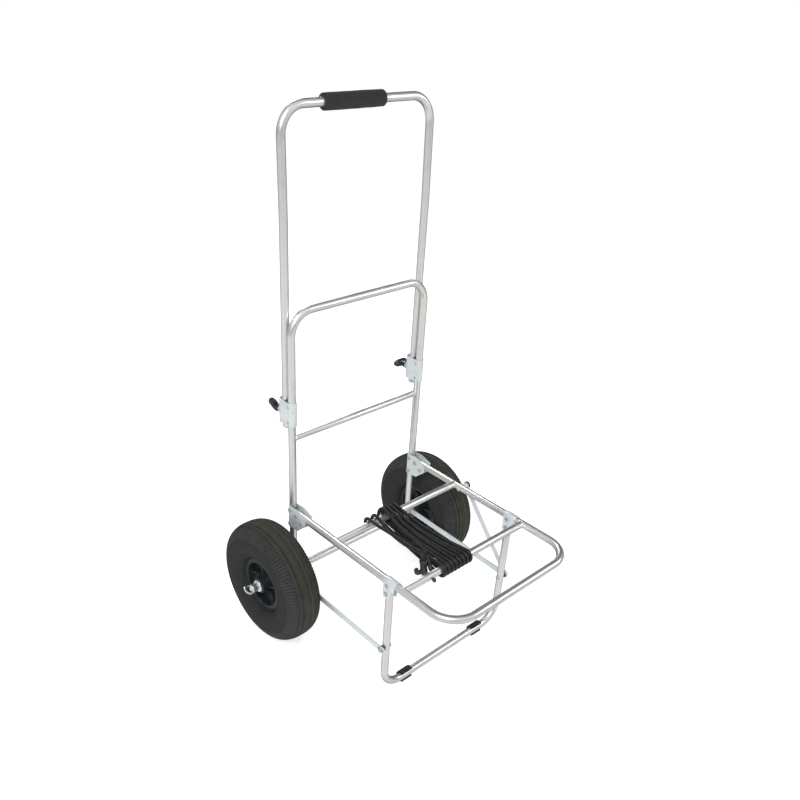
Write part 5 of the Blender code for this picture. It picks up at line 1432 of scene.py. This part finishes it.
def tyre(side, word):
    flat = Vector((0, 0))
    cavity = [*TYRE_CAVITY, *((radius, -width) for radius, width in reversed(TYRE_CAVITY))]
    section = [((BEAD_RADIUS, BEAD_HALF_WIDTH), flat, 0.0), *tyre_section(),
               ((BEAD_RADIUS, -BEAD_HALF_WIDTH), flat, 0.0)]
    section += [(place, flat, 0.0) for place in reversed(cavity)]
    matrix = outward(side, WHEEL_X, 0, AXLE_Z)
    turns = [2 * math.pi * j / TYRE_STEPS for j in range(TYRE_STEPS)]
    circle_points = [(math.cos(turn), math.sin(turn)) for turn in turns]
    rings = []
    for (radius, width), normal, cut in section:
        ring = []
        for j, (c, s) in enumerate(circle_points):
            depth = 0.0 if j % SIPE_EVERY else cut
            r = radius - normal.x * depth
            ring.append(matrix @ Vector((r * c, r * s, width - normal.y * depth)))
        rings.append(ring)
    heights = path_heights([place for place, _, _ in section])
    obj = skin("tyre", rings, 2 * math.pi * WHEEL_RADIUS, heights, True)
    put(obj, "wheel_" + word, "tyre_" + word)


def inner_tube(side, word):
    turns = [2 * math.pi * k / 28 for k in range(28)]
    section = [(INNER_TUBE_MIDDLE + INNER_TUBE_RISE * math.cos(a), INNER_TUBE_SPREAD * math.sin(a))
               for a in turns]
    ring = lathe("tube", section, outward(side, WHEEL_X, 0, AXLE_Z), 72, True)
    place = Matrix.Translation((side * (WHEEL_X + VALVE_OFFSET), AXLE_Y, AXLE_Z + VALVE_BASE))
    valve = lathe("valve", VALVE_PROFILE, place, 28, ease=0.0004)
    put(joined(ring, valve), "wheel_" + word, "inner_tube_" + word)


def rim_half(reach):
    """One side of the rim's section, from the hub's bore out to the tyre's seat."""
    return [(RIM_BORE, reach), (0.0145, reach), (HUB_RADIUS, reach - 0.0012), *RIM_SECTION]


def rim_rib():
    """A rib that stands highest at the hub and at the barrel, and dips between them."""
    length, _, height = RIB_SIZE
    form = block(RIB_SIZE, 6)
    for vertex in form.verts:
        part = vertex.co.x / length + 0.5
        vertex.co.z *= 1 - 0.30 * math.sin(math.pi * part)
        vertex.co.y *= 1.15 - 0.35 * abs(vertex.co.z) / (height / 2)
    return solid("rib", form)


def rim(side, word):
    matrix = outward(side, WHEEL_X, 0, AXLE_Z)
    profile = rim_half(HUB_OUTER_REACH)
    profile += [(r, -h) for r, h in reversed(rim_half(HUB_INNER_REACH))]
    parts = [lathe("rim", profile, matrix, 120, True, 0.0007)]
    for k in range(RIM_RIBS):
        turn = Matrix.Rotation(2 * math.pi * (k + 0.5) / RIM_RIBS, 4, "Z")
        rib = rim_rib()
        rib.matrix_world = matrix @ turn @ Matrix.Translation((RIB_MIDDLE, 0, 0))
        parts.append(softened(evaluated(rib), MOULDED_ROUND, 3))
    put(joined(*parts), "wheel_" + word, "rim_" + word)
    put(sleeve("bush", AXLE_BORE, BUSH_RADIUS, HUB_OUTER_REACH, -HUB_INNER_REACH, matrix, 48,
               0.0004), "wheel_" + word, "wheel_bush_" + word)


def hub_hardware(side, word):
    """The domed washer and the wing nut, a round hub with one wire loop."""
    low = WHEEL_X + HUB_OUTER_REACH + CLEARANCE
    turns = [math.pi / 2 * k / 10 for k in range(11)]
    dome = [(AXLE_BORE, WASHER_THICKNESS)]
    dome += [(WASHER_FLAT + (WASHER_RADIUS - WASHER_FLAT) * math.sin(a),
              WASHER_EDGE + (WASHER_THICKNESS - WASHER_EDGE) * math.cos(a)) for a in turns]
    dome += [(WASHER_RADIUS, 0.0), (AXLE_BORE, 0.0)]
    put(lathe("washer", dome, outward(side, low, 0, AXLE_Z), 64, True), "frame",
        "hub_washer_" + word)
    base = low + WASHER_THICKNESS + CLEARANCE
    hub = [(AXLE_BORE, WING_HUB_LENGTH), (0.0068, WING_HUB_LENGTH), (WING_HUB_RADIUS, 0.0105),
           (WING_HUB_RADIUS, 0.0010), (0.0074, 0.0), (AXLE_BORE, 0.0)]
    hub = lathe("hub", hub, outward(side, base, 0, AXLE_Z), 48, True, 0.0006)
    start = Vector((side * base, AXLE_Y, AXLE_Z))
    spoke = Vector((0, math.cos(WING_ANGLE), math.sin(WING_ANGLE))) * WING_HUB_RADIUS
    along = Vector((side * WING_HUB_LENGTH, 0, 0))
    route = [start + along * out + spoke * aside for out, aside in WING_ROUTE]
    wire = pipe("wing", smooth_route(route, WING_SPACING), WING_WIRE, sides=20)
    put(joined(hub, wire), "wing_nut_" + word, "wing_nut_" + word)


for side, word in SIDES:
    tyre(side, word)
    inner_tube(side, word)
    rim(side, word)
    hub_hardware(side, word)


# Floor and light

def studio_world():
    """A soft studio seen only in reflections and as fill: bright and dark cards round it."""
    world = bpy.data.worlds.new("world")
    world.use_nodes = True
    nodes = Nodes(world.node_tree)
    direction = nodes.coordinates["Generated"]
    up = nodes.add("SeparateXYZ", {0: direction}, "Z")
    height = nodes.colours(nodes.ranged(up, 0.0, 1.0, -1.0, 1.0), WORLD_HEIGHTS)
    azimuth = nodes.add("TexGradient", {"Vector": direction}, "Fac", gradient_type="RADIAL")
    cards = nodes.colours(azimuth, AZIMUTH_CARDS, "EASE")
    mix = nodes.add("Mix", {0: 1.0, 6: height, 7: cards}, 2, data_type="RGBA",
                    blend_type="MULTIPLY")
    background = world.node_tree.nodes["Background"]
    background.inputs["Strength"].default_value = 1.0
    world.node_tree.links.new(mix, background.inputs["Color"])
    bpy.context.scene.world = world


def stage_set():
    """A pale floor in a white surround that lights nothing and shows in no reflection."""
    mesh = bpy.data.meshes.new("floor")
    far = FLOOR_REACH
    mesh.from_pydata([(-far, -far, 0), (far, -far, 0), (far, far, 0), (-far, far, 0)], [],
                     [(0, 1, 2, 3)])
    floor = linked("floor", mesh)
    pale = Look("floor", (0.88, 0.88, 0.875), 0.8, Emission_Color=(1.0, 1.0, 0.995, 1.0),
                Emission_Strength=0.60)
    floor.data.materials.append(pale.material)
    floor.visible_glossy = False
    form = bmesh.new()
    bmesh.ops.create_uvsphere(form, u_segments=64, v_segments=32, radius=BACKDROP_RADIUS)
    mesh = bpy.data.meshes.new("backdrop")
    form.to_mesh(mesh)
    form.free()
    backdrop = linked("backdrop", mesh)
    white = Look("backdrop", (0.0, 0.0, 0.0), 1.0, Specular_IOR_Level=0.0,
                 Emission_Color=(1.0, 1.0, 1.0, 1.0), Emission_Strength=1.0)
    backdrop.data.materials.append(white.material)
    backdrop.visible_glossy = False
    backdrop.visible_diffuse = False
    backdrop.visible_shadow = False


def lamps():
    for name, place, size, energy in LAMPS:
        lamp = bpy.data.lights.new(name, "AREA")
        lamp.shape = "DISK"
        lamp.size = size
        lamp.energy = energy
        light = linked(name, lamp)
        light.location = place
        light.rotation_euler = (LAMP_TARGET - Vector(place)).to_track_quat("-Z", "Y").to_euler()


stage_set()
studio_world()
lamps()
bpy.context.scene.view_settings.view_transform = "Standard"
